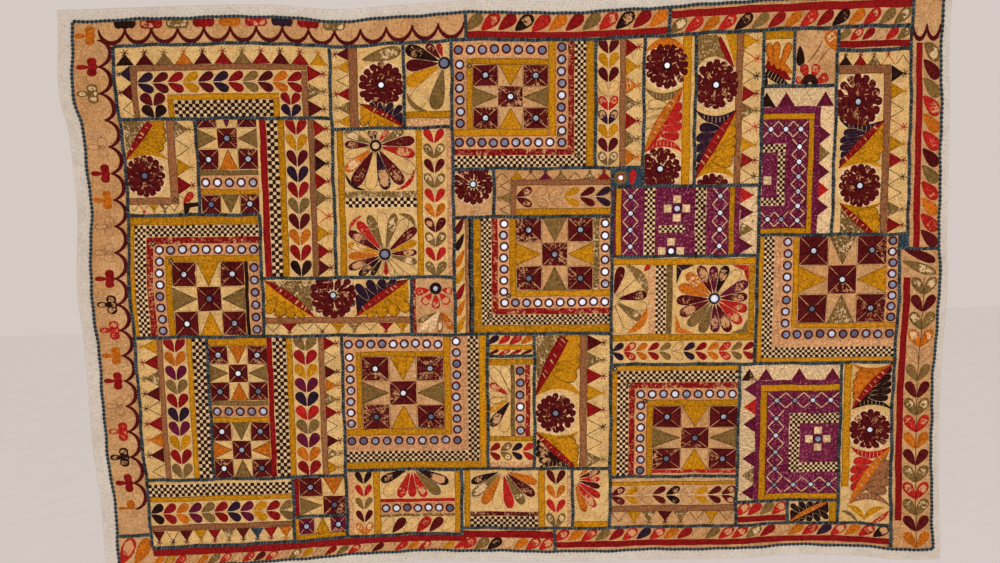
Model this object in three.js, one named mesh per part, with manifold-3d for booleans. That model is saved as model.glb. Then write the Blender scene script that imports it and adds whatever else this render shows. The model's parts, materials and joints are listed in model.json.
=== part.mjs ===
// Patchwork wall hanging: old embroidered cloths, cut and sewn side by side on a plain cotton backing.
// Millimetres, +Z up. It hangs in the XZ plane with its face towards -Y and its flat back on y = 0.
import * as THREE from "three";
import { mergeVertices } from "three/addons/utils/BufferGeometryUtils.js";
import Module from "manifold-3d";

const wasm = await Module();
wasm.setup();

// Sizes of the patched face, of the plain margin round it and of the two layers of cloth
const FACE_WIDTH = 1460;
const FACE_HEIGHT = 940;
const MARGIN = { left: 25, right: 15, top: 20, bottom: 20 };
const BACKING_THICKNESS = 1.5;
const PATCH_THICKNESS = 1.2;
const LAYER_GAP = 0.3;
const SEAM_GAP = 0.8;

// The cloth was cut by eye, so it is turned a little to hang level
const LEVEL_TURN = THREE.MathUtils.degToRad(1.2);

// Meshing: how far apart the points of the sheets and of the cut edges are
const CELL_WIDTH = 50;
const CELL_HEIGHT = 80;
const CUT_STEP = 22;
const CUTTER_REACH = 60;

// How far each edge bows out of a straight line, along the edge from its top or left end
const EDGE_BOWS = {
  left: [
    { at: 0, out: 2 }, { at: 130, out: 8 }, { at: 180, out: -2 }, { at: 250, out: -6 },
    { at: 320, out: -8 }, { at: 370, out: -4 }, { at: 450, out: 2 }, { at: 550, out: -3 },
    { at: 650, out: -5 }, { at: 740, out: -6 }, { at: 820, out: -13 }, { at: 940, out: -14 },
  ],
  right: [
    { at: 0, out: -16 }, { at: 50, out: -17 }, { at: 180, out: -9 }, { at: 280, out: -6 },
    { at: 395, out: -1 }, { at: 450, out: 3 }, { at: 550, out: 2 }, { at: 610, out: 0 },
    { at: 700, out: 2 }, { at: 810, out: 8 }, { at: 890, out: 14 }, { at: 940, out: 19 },
  ],
  top: [
    { at: 0, out: -8 }, { at: 170, out: -3 }, { at: 330, out: -2 }, { at: 430, out: -10 },
    { at: 530, out: -4 }, { at: 680, out: 4 }, { at: 780, out: 1 }, { at: 880, out: 4 },
    { at: 990, out: 10 }, { at: 1130, out: 19 }, { at: 1280, out: 25 }, { at: 1460, out: 30 },
  ],
  bottom: [
    { at: 0, out: 20 }, { at: 130, out: 15 }, { at: 230, out: 11 }, { at: 330, out: 5 },
    { at: 430, out: -1 }, { at: 570, out: -8 }, { at: 730, out: -5 }, { at: 1030, out: -4 },
    { at: 1130, out: -6 }, { at: 1230, out: -12 }, { at: 1330, out: -7 }, { at: 1390, out: 0 },
    { at: 1460, out: 1 },
  ],
};

// A bow fades out over this distance inwards from its edge
const BOW_REACH = 320;

// Soft upright folds: the ridge starts flat at "from" below the top edge and is at its full depth at "to"
const FOLDS = [
  { x: -640, lean: 20, half: 120, depth: 3.5, from: 160, to: 520 },
  { x: -430, lean: -30, half: 150, depth: 5, from: 220, to: 900 },
  { x: -150, lean: 25, half: 140, depth: 3, from: 120, to: 600 },
  { x: 90, lean: -15, half: 170, depth: 5.5, from: 260, to: 940 },
  { x: 330, lean: 30, half: 130, depth: 3.5, from: 140, to: 620 },
  { x: 520, lean: -20, half: 150, depth: 5, from: 240, to: 900 },
  { x: 680, lean: 15, half: 110, depth: 4, from: 180, to: 560 },
];

// Patches, by their sides on the flat face: from its left edge, and down from its top edge.
// Rows with the same piece are one cloth with a notch or a corner in it.
const PATCHES = [
  { piece: "border_scallop", cloth: "peach", left: 0, right: 66, top: 0, bottom: 886 },
  { piece: "border_scallop", cloth: "peach", left: 0, right: 647, top: 0, bottom: 43 },
  { piece: "border_top_middle", cloth: "peach", left: 647, right: 987, top: 0, bottom: 43 },
  { piece: "border_top_right", cloth: "peach", left: 987, right: 1405, top: 0, bottom: 43 },
  { piece: "border_right_upper", cloth: "peach", left: 1405, right: 1460, top: 0, bottom: 396 },
  { piece: "border_right_lower", cloth: "peach", left: 1391, right: 1460, top: 396, bottom: 940 },
  { piece: "border_bottom_left", cloth: "peach", left: 0, right: 66, top: 886, bottom: 940 },
  { piece: "border_bottom_left", cloth: "peach", left: 0, right: 640, top: 907, bottom: 940 },
  { piece: "border_bottom_left", cloth: "peach", left: 630, right: 795, top: 896, bottom: 940 },
  { piece: "border_bottom_right", cloth: "peach", left: 795, right: 1391, top: 896, bottom: 940 },
  { piece: "vine_frame_top_left", cloth: "cream", left: 66, right: 420, top: 43, bottom: 166 },
  { piece: "marigold_left", cloth: "cream", left: 66, right: 191, top: 166, bottom: 328 },
  { piece: "star_pair_left", cloth: "cream", left: 191, right: 420, top: 166, bottom: 328 },
  { piece: "star_pair_left", cloth: "cream", left: 292, right: 420, top: 166, bottom: 438 },
  { piece: "star_block_left", cloth: "cream", left: 66, right: 292, top: 328, bottom: 539 },
  { piece: "marigold_long", cloth: "cream", left: 292, right: 548, top: 438, bottom: 539 },
  { piece: "vine_column_left", cloth: "cream", left: 66, right: 191, top: 539, bottom: 791 },
  { piece: "star_column_left", cloth: "cream", left: 191, right: 425, top: 539, bottom: 791 },
  { piece: "vine_rows_bottom_left", cloth: "cream", left: 66, right: 331, top: 791, bottom: 907 },
  { piece: "star_scrap_upper", cloth: "cream", left: 331, right: 425, top: 791, bottom: 864 },
  { piece: "star_scrap_lower", cloth: "cream", left: 331, right: 425, top: 864, bottom: 907 },
  { piece: "marigold_top", cloth: "cream", left: 420, right: 543, top: 43, bottom: 184 },
  { piece: "daisy_half_top", cloth: "cream", left: 543, right: 623, top: 43, bottom: 184 },
  { piece: "daisy_pair", cloth: "cream", left: 420, right: 623, top: 184, bottom: 438 },
  { piece: "flower_scrap", cloth: "peach", left: 548, right: 623, top: 438, bottom: 539 },
  { piece: "star_block_lower", cloth: "peach", left: 425, right: 678, top: 539, bottom: 783 },
  { piece: "daisy_mirror_row", cloth: "cream", left: 425, right: 630, top: 783, bottom: 907 },
  { piece: "star_block_top", cloth: "peach", left: 623, right: 865, top: 43, bottom: 254 },
  { piece: "vine_column_top", cloth: "cream", left: 865, right: 946, top: 43, bottom: 254 },
  { piece: "marigold_scrap", cloth: "peach", left: 623, right: 692, top: 254, bottom: 336 },
  { piece: "vine_scrap", cloth: "peach", left: 692, right: 894, top: 254, bottom: 336 },
  { piece: "teal_scrap", cloth: "teal", left: 894, right: 946, top: 254, bottom: 286 },
  { piece: "narrow_scrap", cloth: "cream", left: 623, right: 653, top: 336, bottom: 539 },
  { piece: "star_block_centre", cloth: "peach", left: 653, right: 894, top: 336, bottom: 539 },
  { piece: "leaf_scrap", cloth: "cream", left: 678, right: 760, top: 539, bottom: 578 },
  { piece: "petal_mirror_panel", cloth: "cream", left: 678, right: 760, top: 578, bottom: 783 },
  { piece: "marigold_wing_lower", cloth: "cream", left: 760, right: 894, top: 539, bottom: 783 },
  { piece: "daisy_checker", cloth: "cream", left: 630, right: 827, top: 783, bottom: 896 },
  { piece: "petal_scrap", cloth: "cream", left: 827, right: 894, top: 783, bottom: 896 },
  { piece: "marigold_column_top", cloth: "cream", left: 946, right: 1033, top: 43, bottom: 286 },
  { piece: "marigold_wing_top", cloth: "cream", left: 1033, right: 1146, top: 43, bottom: 286 },
  { piece: "orange_scrap", cloth: "cream", left: 1146, right: 1198, top: 43, bottom: 128 },
  { piece: "black_flower_scrap", cloth: "peach", left: 1198, right: 1273, top: 43, bottom: 128 },
  { piece: "leaf_strip_right", cloth: "peach", left: 1273, right: 1405, top: 43, bottom: 77 },
  { piece: "purple_panel_tall", cloth: "purple", left: 1146, right: 1273, top: 128, bottom: 371 },
  { piece: "marigold_pair_right", cloth: "cream", left: 1273, right: 1405, top: 77, bottom: 371 },
  { piece: "purple_panel_wide", cloth: "purple", left: 894, right: 1146, top: 286, bottom: 406 },
  { piece: "daisy_frame", cloth: "cream", left: 894, right: 1146, top: 406, bottom: 596 },
  { piece: "star_block_right", cloth: "peach", left: 1146, right: 1391, top: 371, bottom: 596 },
  { piece: "teal_bit_right", cloth: "teal", left: 1391, right: 1405, top: 371, bottom: 396 },
  { piece: "star_block_lower_right", cloth: "peach", left: 894, right: 1120, top: 596, bottom: 801 },
  { piece: "purple_panel_lower", cloth: "purple", left: 1120, right: 1300, top: 596, bottom: 851 },
  { piece: "marigold_column_lower", cloth: "cream", left: 1300, right: 1391, top: 596, bottom: 896 },
  { piece: "vine_triangles_lower", cloth: "peach", left: 894, right: 1120, top: 801, bottom: 896 },
  { piece: "leaf_red_scrap", cloth: "peach", left: 1120, right: 1211, top: 851, bottom: 896 },
  { piece: "black_curl_scrap", cloth: "cream", left: 1211, right: 1300, top: 851, bottom: 896 },
];

const CLOTH_COLOURS = {
  white: 0xded8d0,
  cream: 0xd6b270,
  peach: 0xd6a069,
  purple: 0x69234b,
  teal: 0x324855,
};

// A smooth curve through the rows of one edge's table
function bowCurve(rows) {
  const stations = rows.map((row) => row.at);
  const values = rows.map((row) => row.out);
  const curve = new THREE.CubicInterpolant(stations, values, 1, [0]);
  return (at) => curve.evaluate(at)[0];
}

const bow = Object.fromEntries(Object.entries(EDGE_BOWS).map(([edge, rows]) => [edge, bowCurve(rows)]));

function fade(distance) {
  return Math.max(0, 1 - distance / BOW_REACH) ** 2;
}

// Where a point of the flat plan comes to lie once the edges have bowed and the whole is turned level
function bowed(along, down) {
  const across = THREE.MathUtils.clamp(along, 0, FACE_WIDTH);
  const drop = THREE.MathUtils.clamp(down, 0, FACE_HEIGHT);
  const x = along - fade(across) * bow.left(drop) + fade(FACE_WIDTH - across) * bow.right(drop);
  const z = -down + fade(drop) * bow.top(across) - fade(FACE_HEIGHT - drop) * bow.bottom(across);
  return new THREE.Vector2(x, z).rotateAround(new THREE.Vector2(), -LEVEL_TURN);
}

// The origin is the middle of the backing's top edge
const ORIGIN = bowed(FACE_WIDTH / 2, -MARGIN.top);

function place(along, down) {
  return bowed(along, down).sub(ORIGIN);
}

// How far the cloth stands out from the wall, as the sum of its folds
function standOut(x, z) {
  let out = 0;
  for (const fold of FOLDS) {
    const ridge = fold.x - (fold.lean * z) / FACE_HEIGHT;
    const side = Math.min(1, Math.abs(x - ridge) / fold.half);
    const growth = THREE.MathUtils.smoothstep(-z, fold.from, fold.to);
    out += fold.depth * growth * (0.5 + 0.5 * Math.cos(Math.PI * side));
  }
  return out;
}

function evenSteps(from, to, largest) {
  const count = Math.ceil((to - from) / largest);
  return Array.from({ length: count + 1 }, (_, i) => from + ((to - from) * i) / count);
}

// A closed rippled sheet over a plan rectangle, from "near" to "far" in front of the wall
function sheet(box, near, far) {
  const columns = evenSteps(box.left, box.right, CELL_WIDTH);
  const rows = evenSteps(box.top, box.bottom, CELL_HEIGHT);
  const points = [];
  for (const depth of [far, near]) {
    for (const down of rows) {
      for (const along of columns) {
        const { x, y: z } = place(along, down);
        points.push(x, -standOut(x, z) - depth, z);
      }
    }
  }
  const wide = columns.length;
  const tall = rows.length;
  const front = (i, j) => j * wide + i;
  const back = (i, j) => wide * tall + j * wide + i;
  const faces = [];
  const quad = (a, b, c, d) => faces.push(a, b, c, a, c, d);
  for (let j = 0; j + 1 < tall; j += 1) {
    for (let i = 0; i + 1 < wide; i += 1) {
      quad(front(i, j), front(i, j + 1), front(i + 1, j + 1), front(i + 1, j));
      faces.push(back(i, j), back(i + 1, j + 1), back(i, j + 1));
      faces.push(back(i, j), back(i + 1, j), back(i + 1, j + 1));
    }
  }
  for (let i = 0; i + 1 < wide; i += 1) {
    quad(front(i, 0), front(i + 1, 0), back(i + 1, 0), back(i, 0));
    quad(front(i + 1, tall - 1), front(i, tall - 1), back(i, tall - 1), back(i + 1, tall - 1));
  }
  for (let j = 0; j + 1 < tall; j += 1) {
    quad(front(0, j + 1), front(0, j), back(0, j), back(0, j + 1));
    quad(front(wide - 1, j), front(wide - 1, j + 1), back(wide - 1, j + 1), back(wide - 1, j));
  }
  const geometry = new THREE.BufferGeometry();
  geometry.setAttribute("position", new THREE.Float32BufferAttribute(points, 3));
  geometry.setIndex(faces);
  return geometry;
}

// The cut edge of one patch row, a little inside its seam lines, as a cutter that goes through the sheet
function cutter(row) {
  const inset = SEAM_GAP / 2;
  const left = row.left + (row.left > 0 ? inset : 0);
  const right = row.right - (row.right < FACE_WIDTH ? inset : 0);
  const top = row.top + (row.top > 0 ? inset : 0);
  const bottom = row.bottom - (row.bottom < FACE_HEIGHT ? inset : 0);
  const across = evenSteps(left, right, CUT_STEP);
  const drop = evenSteps(top, bottom, CUT_STEP);
  const outline = [
    ...drop.slice(0, -1).map((down) => place(left, down)),
    ...across.slice(0, -1).map((along) => place(along, bottom)),
    ...drop.slice(1).reverse().map((down) => place(right, down)),
    ...across.slice(1).reverse().map((along) => place(along, top)),
  ];
  const geometry = new THREE.ExtrudeGeometry(new THREE.Shape(outline), {
    depth: 2 * CUTTER_REACH,
    bevelEnabled: false,
  });
  geometry.translate(0, 0, -CUTTER_REACH);
  geometry.rotateX(Math.PI / 2);
  return geometry;
}

function solid(geometry) {
  geometry.deleteAttribute("normal");
  geometry.deleteAttribute("uv");
  const welded = mergeVertices(geometry, 1e-4);
  return new wasm.Manifold(new wasm.Mesh({
    numProp: 3,
    vertProperties: new Float32Array(welded.attributes.position.array),
    triVerts: new Uint32Array(welded.index.array),
  }));
}

function shape(body) {
  const { vertProperties, triVerts, numProp } = body.getMesh();
  const geometry = new THREE.BufferGeometry();
  const points = [];
  for (let i = 0; i < vertProperties.length; i += numProp) {
    points.push(vertProperties[i], vertProperties[i + 1], vertProperties[i + 2]);
  }
  geometry.setAttribute("position", new THREE.Float32BufferAttribute(points, 3));
  geometry.setIndex(Array.from(triVerts));
  return geometry;
}

function named(name, geometry, cloth) {
  geometry.computeVertexNormals();
  const material = new THREE.MeshStandardMaterial({ color: CLOTH_COLOURS[cloth], roughness: 0.9 });
  material.name = `${cloth}_cotton`;
  const mesh = new THREE.Mesh(geometry, material);
  mesh.name = name;
  return mesh;
}

const whole = {
  left: -MARGIN.left,
  right: FACE_WIDTH + MARGIN.right,
  top: -MARGIN.top,
  bottom: FACE_HEIGHT + MARGIN.bottom,
};

const hanging = new THREE.Group();
hanging.name = "patchwork_wall_hanging";
hanging.add(named("backing", sheet(whole, 0, BACKING_THICKNESS), "white"));

const patchBack = BACKING_THICKNESS + LAYER_GAP;
const patchSheet = solid(sheet(whole, patchBack, patchBack + PATCH_THICKNESS));
for (const piece of new Set(PATCHES.map((row) => row.piece))) {
  const rows = PATCHES.filter((row) => row.piece === piece);
  const outline = wasm.Manifold.union(rows.map((row) => solid(cutter(row))));
  const patch = patchSheet.intersect(outline);
  hanging.add(named(piece, shape(patch), rows[0].cloth));
}

export default hanging;
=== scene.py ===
import json
import math
from collections import namedtuple

import bpy
import numpy as np
from bpy.props import FloatProperty, FloatVectorProperty, PointerProperty
from mathutils import Euler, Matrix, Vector


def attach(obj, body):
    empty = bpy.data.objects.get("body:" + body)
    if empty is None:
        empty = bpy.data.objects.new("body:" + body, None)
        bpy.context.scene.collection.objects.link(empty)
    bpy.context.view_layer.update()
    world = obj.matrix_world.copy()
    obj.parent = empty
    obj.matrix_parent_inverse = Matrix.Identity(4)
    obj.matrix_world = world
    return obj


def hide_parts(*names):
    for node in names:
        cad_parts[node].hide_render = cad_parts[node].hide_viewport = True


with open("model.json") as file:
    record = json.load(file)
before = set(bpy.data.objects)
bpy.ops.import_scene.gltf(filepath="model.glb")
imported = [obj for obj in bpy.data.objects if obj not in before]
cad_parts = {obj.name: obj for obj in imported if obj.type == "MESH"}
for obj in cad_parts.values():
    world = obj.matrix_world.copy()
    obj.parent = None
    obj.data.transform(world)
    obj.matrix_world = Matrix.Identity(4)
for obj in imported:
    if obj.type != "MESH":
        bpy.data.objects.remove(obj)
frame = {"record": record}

bl_info = {
    "name": "Patchwork wall hanging",
    "version": (1, 0, 0),
    "blender": (4, 5, 0),
    "location": "View3D > Sidebar > Hanging",
    "description": "Dresses the hanging in worn cotton, satin stitch, mirrors and couched cord",
    "category": "Object",
}

# Lengths are in millimetres on the flat plan: u runs right from the left edge of the patched face, v down
FACE_WIDTH = 1460
FACE_HEIGHT = 940
MARGIN = {"left": 25, "right": 15, "top": 20, "bottom": 20}
BOW_REACH = 320
LEVEL_TURN = math.radians(1.2)
MM = 0.001

# Heights of the two layers of cloth above the back of the hanging
BACKING_FRONT = 1.5
PATCH_BACK = 1.8
PATCH_FRONT = 3.0

# Spacing of the backing's points, and how far the front of each cloth rounds down at its edge, and how fast
BACKING_STEP = 11
HEM_ROUND = 0.5
PATCH_ROUND = 0.9
ROUND_REACH = 1.1

# Points close to a seam lie this far from it
SEAM_STEPS = (0, 1.2, 3.2)

# Running stitches along the margin: insets of the rows, pitch, length, and room left at the end of a row
HEM_ROWS = (6, 11)
HEM_PITCH = 8.0
HEM_STITCH = 4
HEM_END = 6

# Satin stitch: sink into the cloth at the rim, way in from the rim to its shoulder, radius from which a pad
# has a flat top, area under which it is left out, wear, and height of the stitches under checks as a share
SINK = 0.4
SHOULDER = 0.8
WIDE_PAD = 5
SMALLEST_PAD = 3
LIGHTLY_WORN = 0.3
BADLY_WORN = 0.72
UNDERLAY = 0.35

# Sewn lines: distance between their points, half width from which they have a flat top, and half widths
LINE_STEP = 9
STEM_STEP = 8
FLAT_TOP = 1.3
LOOSE_LINE = 0.4
SAW_LINE = 0.45
BARE_LINE = 0.55
EDGE_LINE = 0.6
RIM_LINE = 0.7
STEM_LINE = 0.9
STOP_LINE = 1.0
SPARK_LINE = 1.1
DIAMOND_LINE = 1.15
CROSS_LINE = 1.25

# Mirrors: sides of the glass, how far it goes under its ring, its room to a seam, its height at the rim and
# in the middle, its tilt and how unevenly dim it is, then the ring's height, its room in a strip, the gaps
# of a row, and the radius of the glass by motif
MIRROR_SIDES = 22
GLASS_TUCK = 0.4
GLASS_ROOM = 1.5
GLASS_RIM = 0.95
GLASS_CROWN = 1.05
GLASS_TILT = 0.03
DIMNESS_SCATTER = 0.2
RING_HEIGHT = 1.5
RING_ROOM = 2.9
RING_GAP = 10.6
GLASS = {"square": 3.9, "diamond": 3.4, "daisy": 6.2, "marigold": 4.0, "cross": 4.4}

# Motifs: room left between a seam and the sewing, checks, petals of a daisy, pale stitches on marigolds and
# wings, and shares of a sound star's triangles, of a worn one's and of a marigold's lobes that are still good
SEAM_ROOM = 2
CHECK_INSET = 0.8
CHECK_SCATTER = 0.28
CHECK_SWELL = 1.24
DAISY_HEART = 9
SHORTEST_PETAL = 12
MARIGOLD_FLECKS = 20
WING_FLECKS = 7
GOOD_IN_SOUND_STAR = 0.82
GOOD_IN_WORN_STAR = 0.35
GOOD_LOBES = 0.78

# Margin of the flat map that the sewing is baked on, and the parts of a cloth's map for its front and back
BAKE_MARGIN = 30
FRONT_SHARE = 0.9
BACK_SHARE = 0.09
BACK_CORNER = 0.905

# Corners of a square about its middle
SQUARE = ((-1, -1), (1, -1), (1, 1), (-1, 1))

# Couching over a seam and over the pale edge: half width, tone and sink of the cord, then how far apart its
# stitches are as a share of the pitch, their reach, half width, lean, scatter of the lean and lightest tone
Couching = namedtuple("Couching", "half tone sink spread reach breadth lean scatter lightest")
SEAM_COUCHING = Couching(
    half=3.0, tone=0.0, sink=0.9, spread=1, reach=4.4, breadth=2.0, lean=0.5, scatter=0.25, lightest=1)
EDGE_COUCHING = Couching(
    half=2.6, tone=0.7, sink=1.7, spread=1.3, reach=3.6, breadth=2.7, lean=0.0, scatter=0.1, lightest=0.25)
CORD_STEP = 8
CORD_HEIGHT = 0.8
STITCH_HEIGHT = 2.0

# How far each edge bows out of a straight line: (station along the edge, distance out)
EDGE_BOWS = {
    "left": ((0, 2), (130, 8), (180, -2), (250, -6), (320, -8), (370, -4), (450, 2), (550, -3), (650, -5),
             (740, -6), (820, -13), (940, -14)),
    "right": ((0, -16), (50, -17), (180, -9), (280, -6), (395, -1), (450, 3), (550, 2), (610, 0), (700, 2),
              (810, 8), (890, 14), (940, 19)),
    "top": ((0, -8), (170, -3), (330, -2), (430, -10), (530, -4), (680, 4), (780, 1), (880, 4), (990, 10),
            (1130, 19), (1280, 25), (1460, 30)),
    "bottom": ((0, 20), (130, 15), (230, 11), (330, 5), (430, -1), (570, -8), (730, -5), (1030, -4),
               (1130, -6), (1230, -12), (1330, -7), (1390, 0), (1460, 1)),
}

# Upright folds: (x of the ridge, lean, half width, depth, where it starts below the top, where it is full)
FOLDS = (
    (-640, 20, 120, 3.5, 160, 520), (-430, -30, 150, 5, 220, 900), (-150, 25, 140, 3, 120, 600),
    (90, -15, 170, 5.5, 260, 940), (330, 30, 130, 3.5, 140, 620), (520, -20, 150, 5, 240, 900),
    (680, 15, 110, 4, 180, 560),
)

# Soft creases: (u, v, angle in degrees, length, half width, height)
CREASES = (
    (34, 214, 8, 70, 5, 1.1), (30, 262, -12, 60, 6, 0.9), (36, 500, 4, 66, 5, 1.0), (30, 640, -6, 60, 5, 0.9),
    (30, 760, 10, 62, 6, 1.0), (250, 22, 80, 40, 6, 0.8), (520, 20, 100, 40, 6, 0.8),
    (1430, 250, 12, 50, 6, 0.9), (1425, 700, -10, 60, 6, 0.9), (760, 470, 35, 110, 9, 0.9),
    (1260, 480, -30, 120, 9, 0.9), (530, 650, -35, 120, 9, 0.9), (200, 440, 30, 120, 9, 0.8),
    (1010, 700, 28, 110, 9, 0.8), (720, 150, -32, 100, 9, 0.8), (1060, 350, 70, 90, 8, 0.7),
)

# Each patch as one or more boxes of the plan: left, top, right, bottom
PATCHES = {
    "border_scallop": ((0, 0, 66, 886), (0, 0, 647, 43)),
    "border_top_middle": ((647, 0, 987, 43),),
    "border_top_right": ((987, 0, 1405, 43),),
    "border_right_upper": ((1405, 0, 1460, 396),),
    "border_right_lower": ((1391, 396, 1460, 940),),
    "border_bottom_left": ((0, 886, 66, 940), (0, 907, 640, 940), (630, 896, 795, 940)),
    "border_bottom_right": ((795, 896, 1391, 940),),
    "vine_frame_top_left": ((66, 43, 420, 166),),
    "marigold_left": ((66, 166, 191, 328),),
    "star_pair_left": ((191, 166, 420, 328), (292, 166, 420, 438)),
    "star_block_left": ((66, 328, 292, 539),),
    "marigold_long": ((292, 438, 548, 539),),
    "vine_column_left": ((66, 539, 191, 791),),
    "star_column_left": ((191, 539, 425, 791),),
    "vine_rows_bottom_left": ((66, 791, 331, 907),),
    "star_scrap_upper": ((331, 791, 425, 864),),
    "star_scrap_lower": ((331, 864, 425, 907),),
    "marigold_top": ((420, 43, 543, 184),),
    "daisy_half_top": ((543, 43, 623, 184),),
    "daisy_pair": ((420, 184, 623, 438),),
    "flower_scrap": ((548, 438, 623, 539),),
    "star_block_lower": ((425, 539, 678, 783),),
    "daisy_mirror_row": ((425, 783, 630, 907),),
    "star_block_top": ((623, 43, 865, 254),),
    "vine_column_top": ((865, 43, 946, 254),),
    "marigold_scrap": ((623, 254, 692, 336),),
    "vine_scrap": ((692, 254, 894, 336),),
    "teal_scrap": ((894, 254, 946, 286),),
    "narrow_scrap": ((623, 336, 653, 539),),
    "star_block_centre": ((653, 336, 894, 539),),
    "leaf_scrap": ((678, 539, 760, 578),),
    "petal_mirror_panel": ((678, 578, 760, 783),),
    "marigold_wing_lower": ((760, 539, 894, 783),),
    "daisy_checker": ((630, 783, 827, 896),),
    "petal_scrap": ((827, 783, 894, 896),),
    "marigold_column_top": ((946, 43, 1033, 286),),
    "marigold_wing_top": ((1033, 43, 1146, 286),),
    "orange_scrap": ((1146, 43, 1198, 128),),
    "black_flower_scrap": ((1198, 43, 1273, 128),),
    "leaf_strip_right": ((1273, 43, 1405, 77),),
    "purple_panel_tall": ((1146, 128, 1273, 371),),
    "marigold_pair_right": ((1273, 77, 1405, 371),),
    "purple_panel_wide": ((894, 286, 1146, 406),),
    "daisy_frame": ((894, 406, 1146, 596),),
    "star_block_right": ((1146, 371, 1391, 596),),
    "teal_bit_right": ((1391, 371, 1405, 396),),
    "star_block_lower_right": ((894, 596, 1120, 801),),
    "purple_panel_lower": ((1120, 596, 1300, 851),),
    "marigold_column_lower": ((1300, 596, 1391, 896),),
    "vine_triangles_lower": ((894, 801, 1120, 896),),
    "leaf_red_scrap": ((1120, 851, 1211, 896),),
    "black_curl_scrap": ((1211, 851, 1300, 896),),
}

# Threads, each with its letter in the designs below. A capital letter is the same thread, badly worn.
THREADS = {
    "m": ("maroon", (84, 4, 10)),
    "c": ("crimson", (137, 7, 10)),
    "r": ("red", (186, 30, 24)),
    "o": ("orange", (200, 106, 14)),
    "y": ("mustard", (195, 131, 4)),
    "g": ("olive", (128, 98, 50)),
    "n": ("navy", (32, 16, 38)),
    "k": ("black", (26, 6, 1)),
    "p": ("plum", (96, 12, 44)),
    "b": ("brown", (150, 96, 58)),
    "h": ("peach", (216, 158, 108)),
    "w": ("cream", (236, 198, 148)),
    "t": ("teal", (48, 68, 82)),
    "d": ("outline", (44, 18, 6)),
}

# Threads that wear through to peach cloth, threads with little contrast along a stitch, and the hem's thread
ON_PEACH = "mcrnkp"
EVEN_THREADS = "ybcwh"
EVEN_CONTRAST = 0.4
HEM_THREAD = (0.5, 0.49, 0.47)

# Worn shades of each cotton, as light: where it has faded, where it is stained, and its flecks. The backing
# is less mottled.
WORN_SHADES = {
    "white_cotton": ((0.77, 0.71, 0.62), (0.62, 0.56, 0.46), (0.76, 0.72, 0.66)),
    "cream_cotton": ((0.84, 0.56, 0.245), (0.46, 0.2, 0.07), (0.92, 0.68, 0.36)),
    "peach_cotton": ((0.74, 0.44, 0.21), (0.42, 0.16, 0.06), (0.84, 0.54, 0.28)),
    "purple_cotton": ((0.2, 0.02, 0.065), (0.08, 0.008, 0.025), (0.5, 0.15, 0.2)),
    "teal_cotton": ((0.04, 0.09, 0.12), (0.02, 0.04, 0.06), (0.1, 0.16, 0.18)),
}
BACKING_MOTTLE = 0.4

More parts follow.
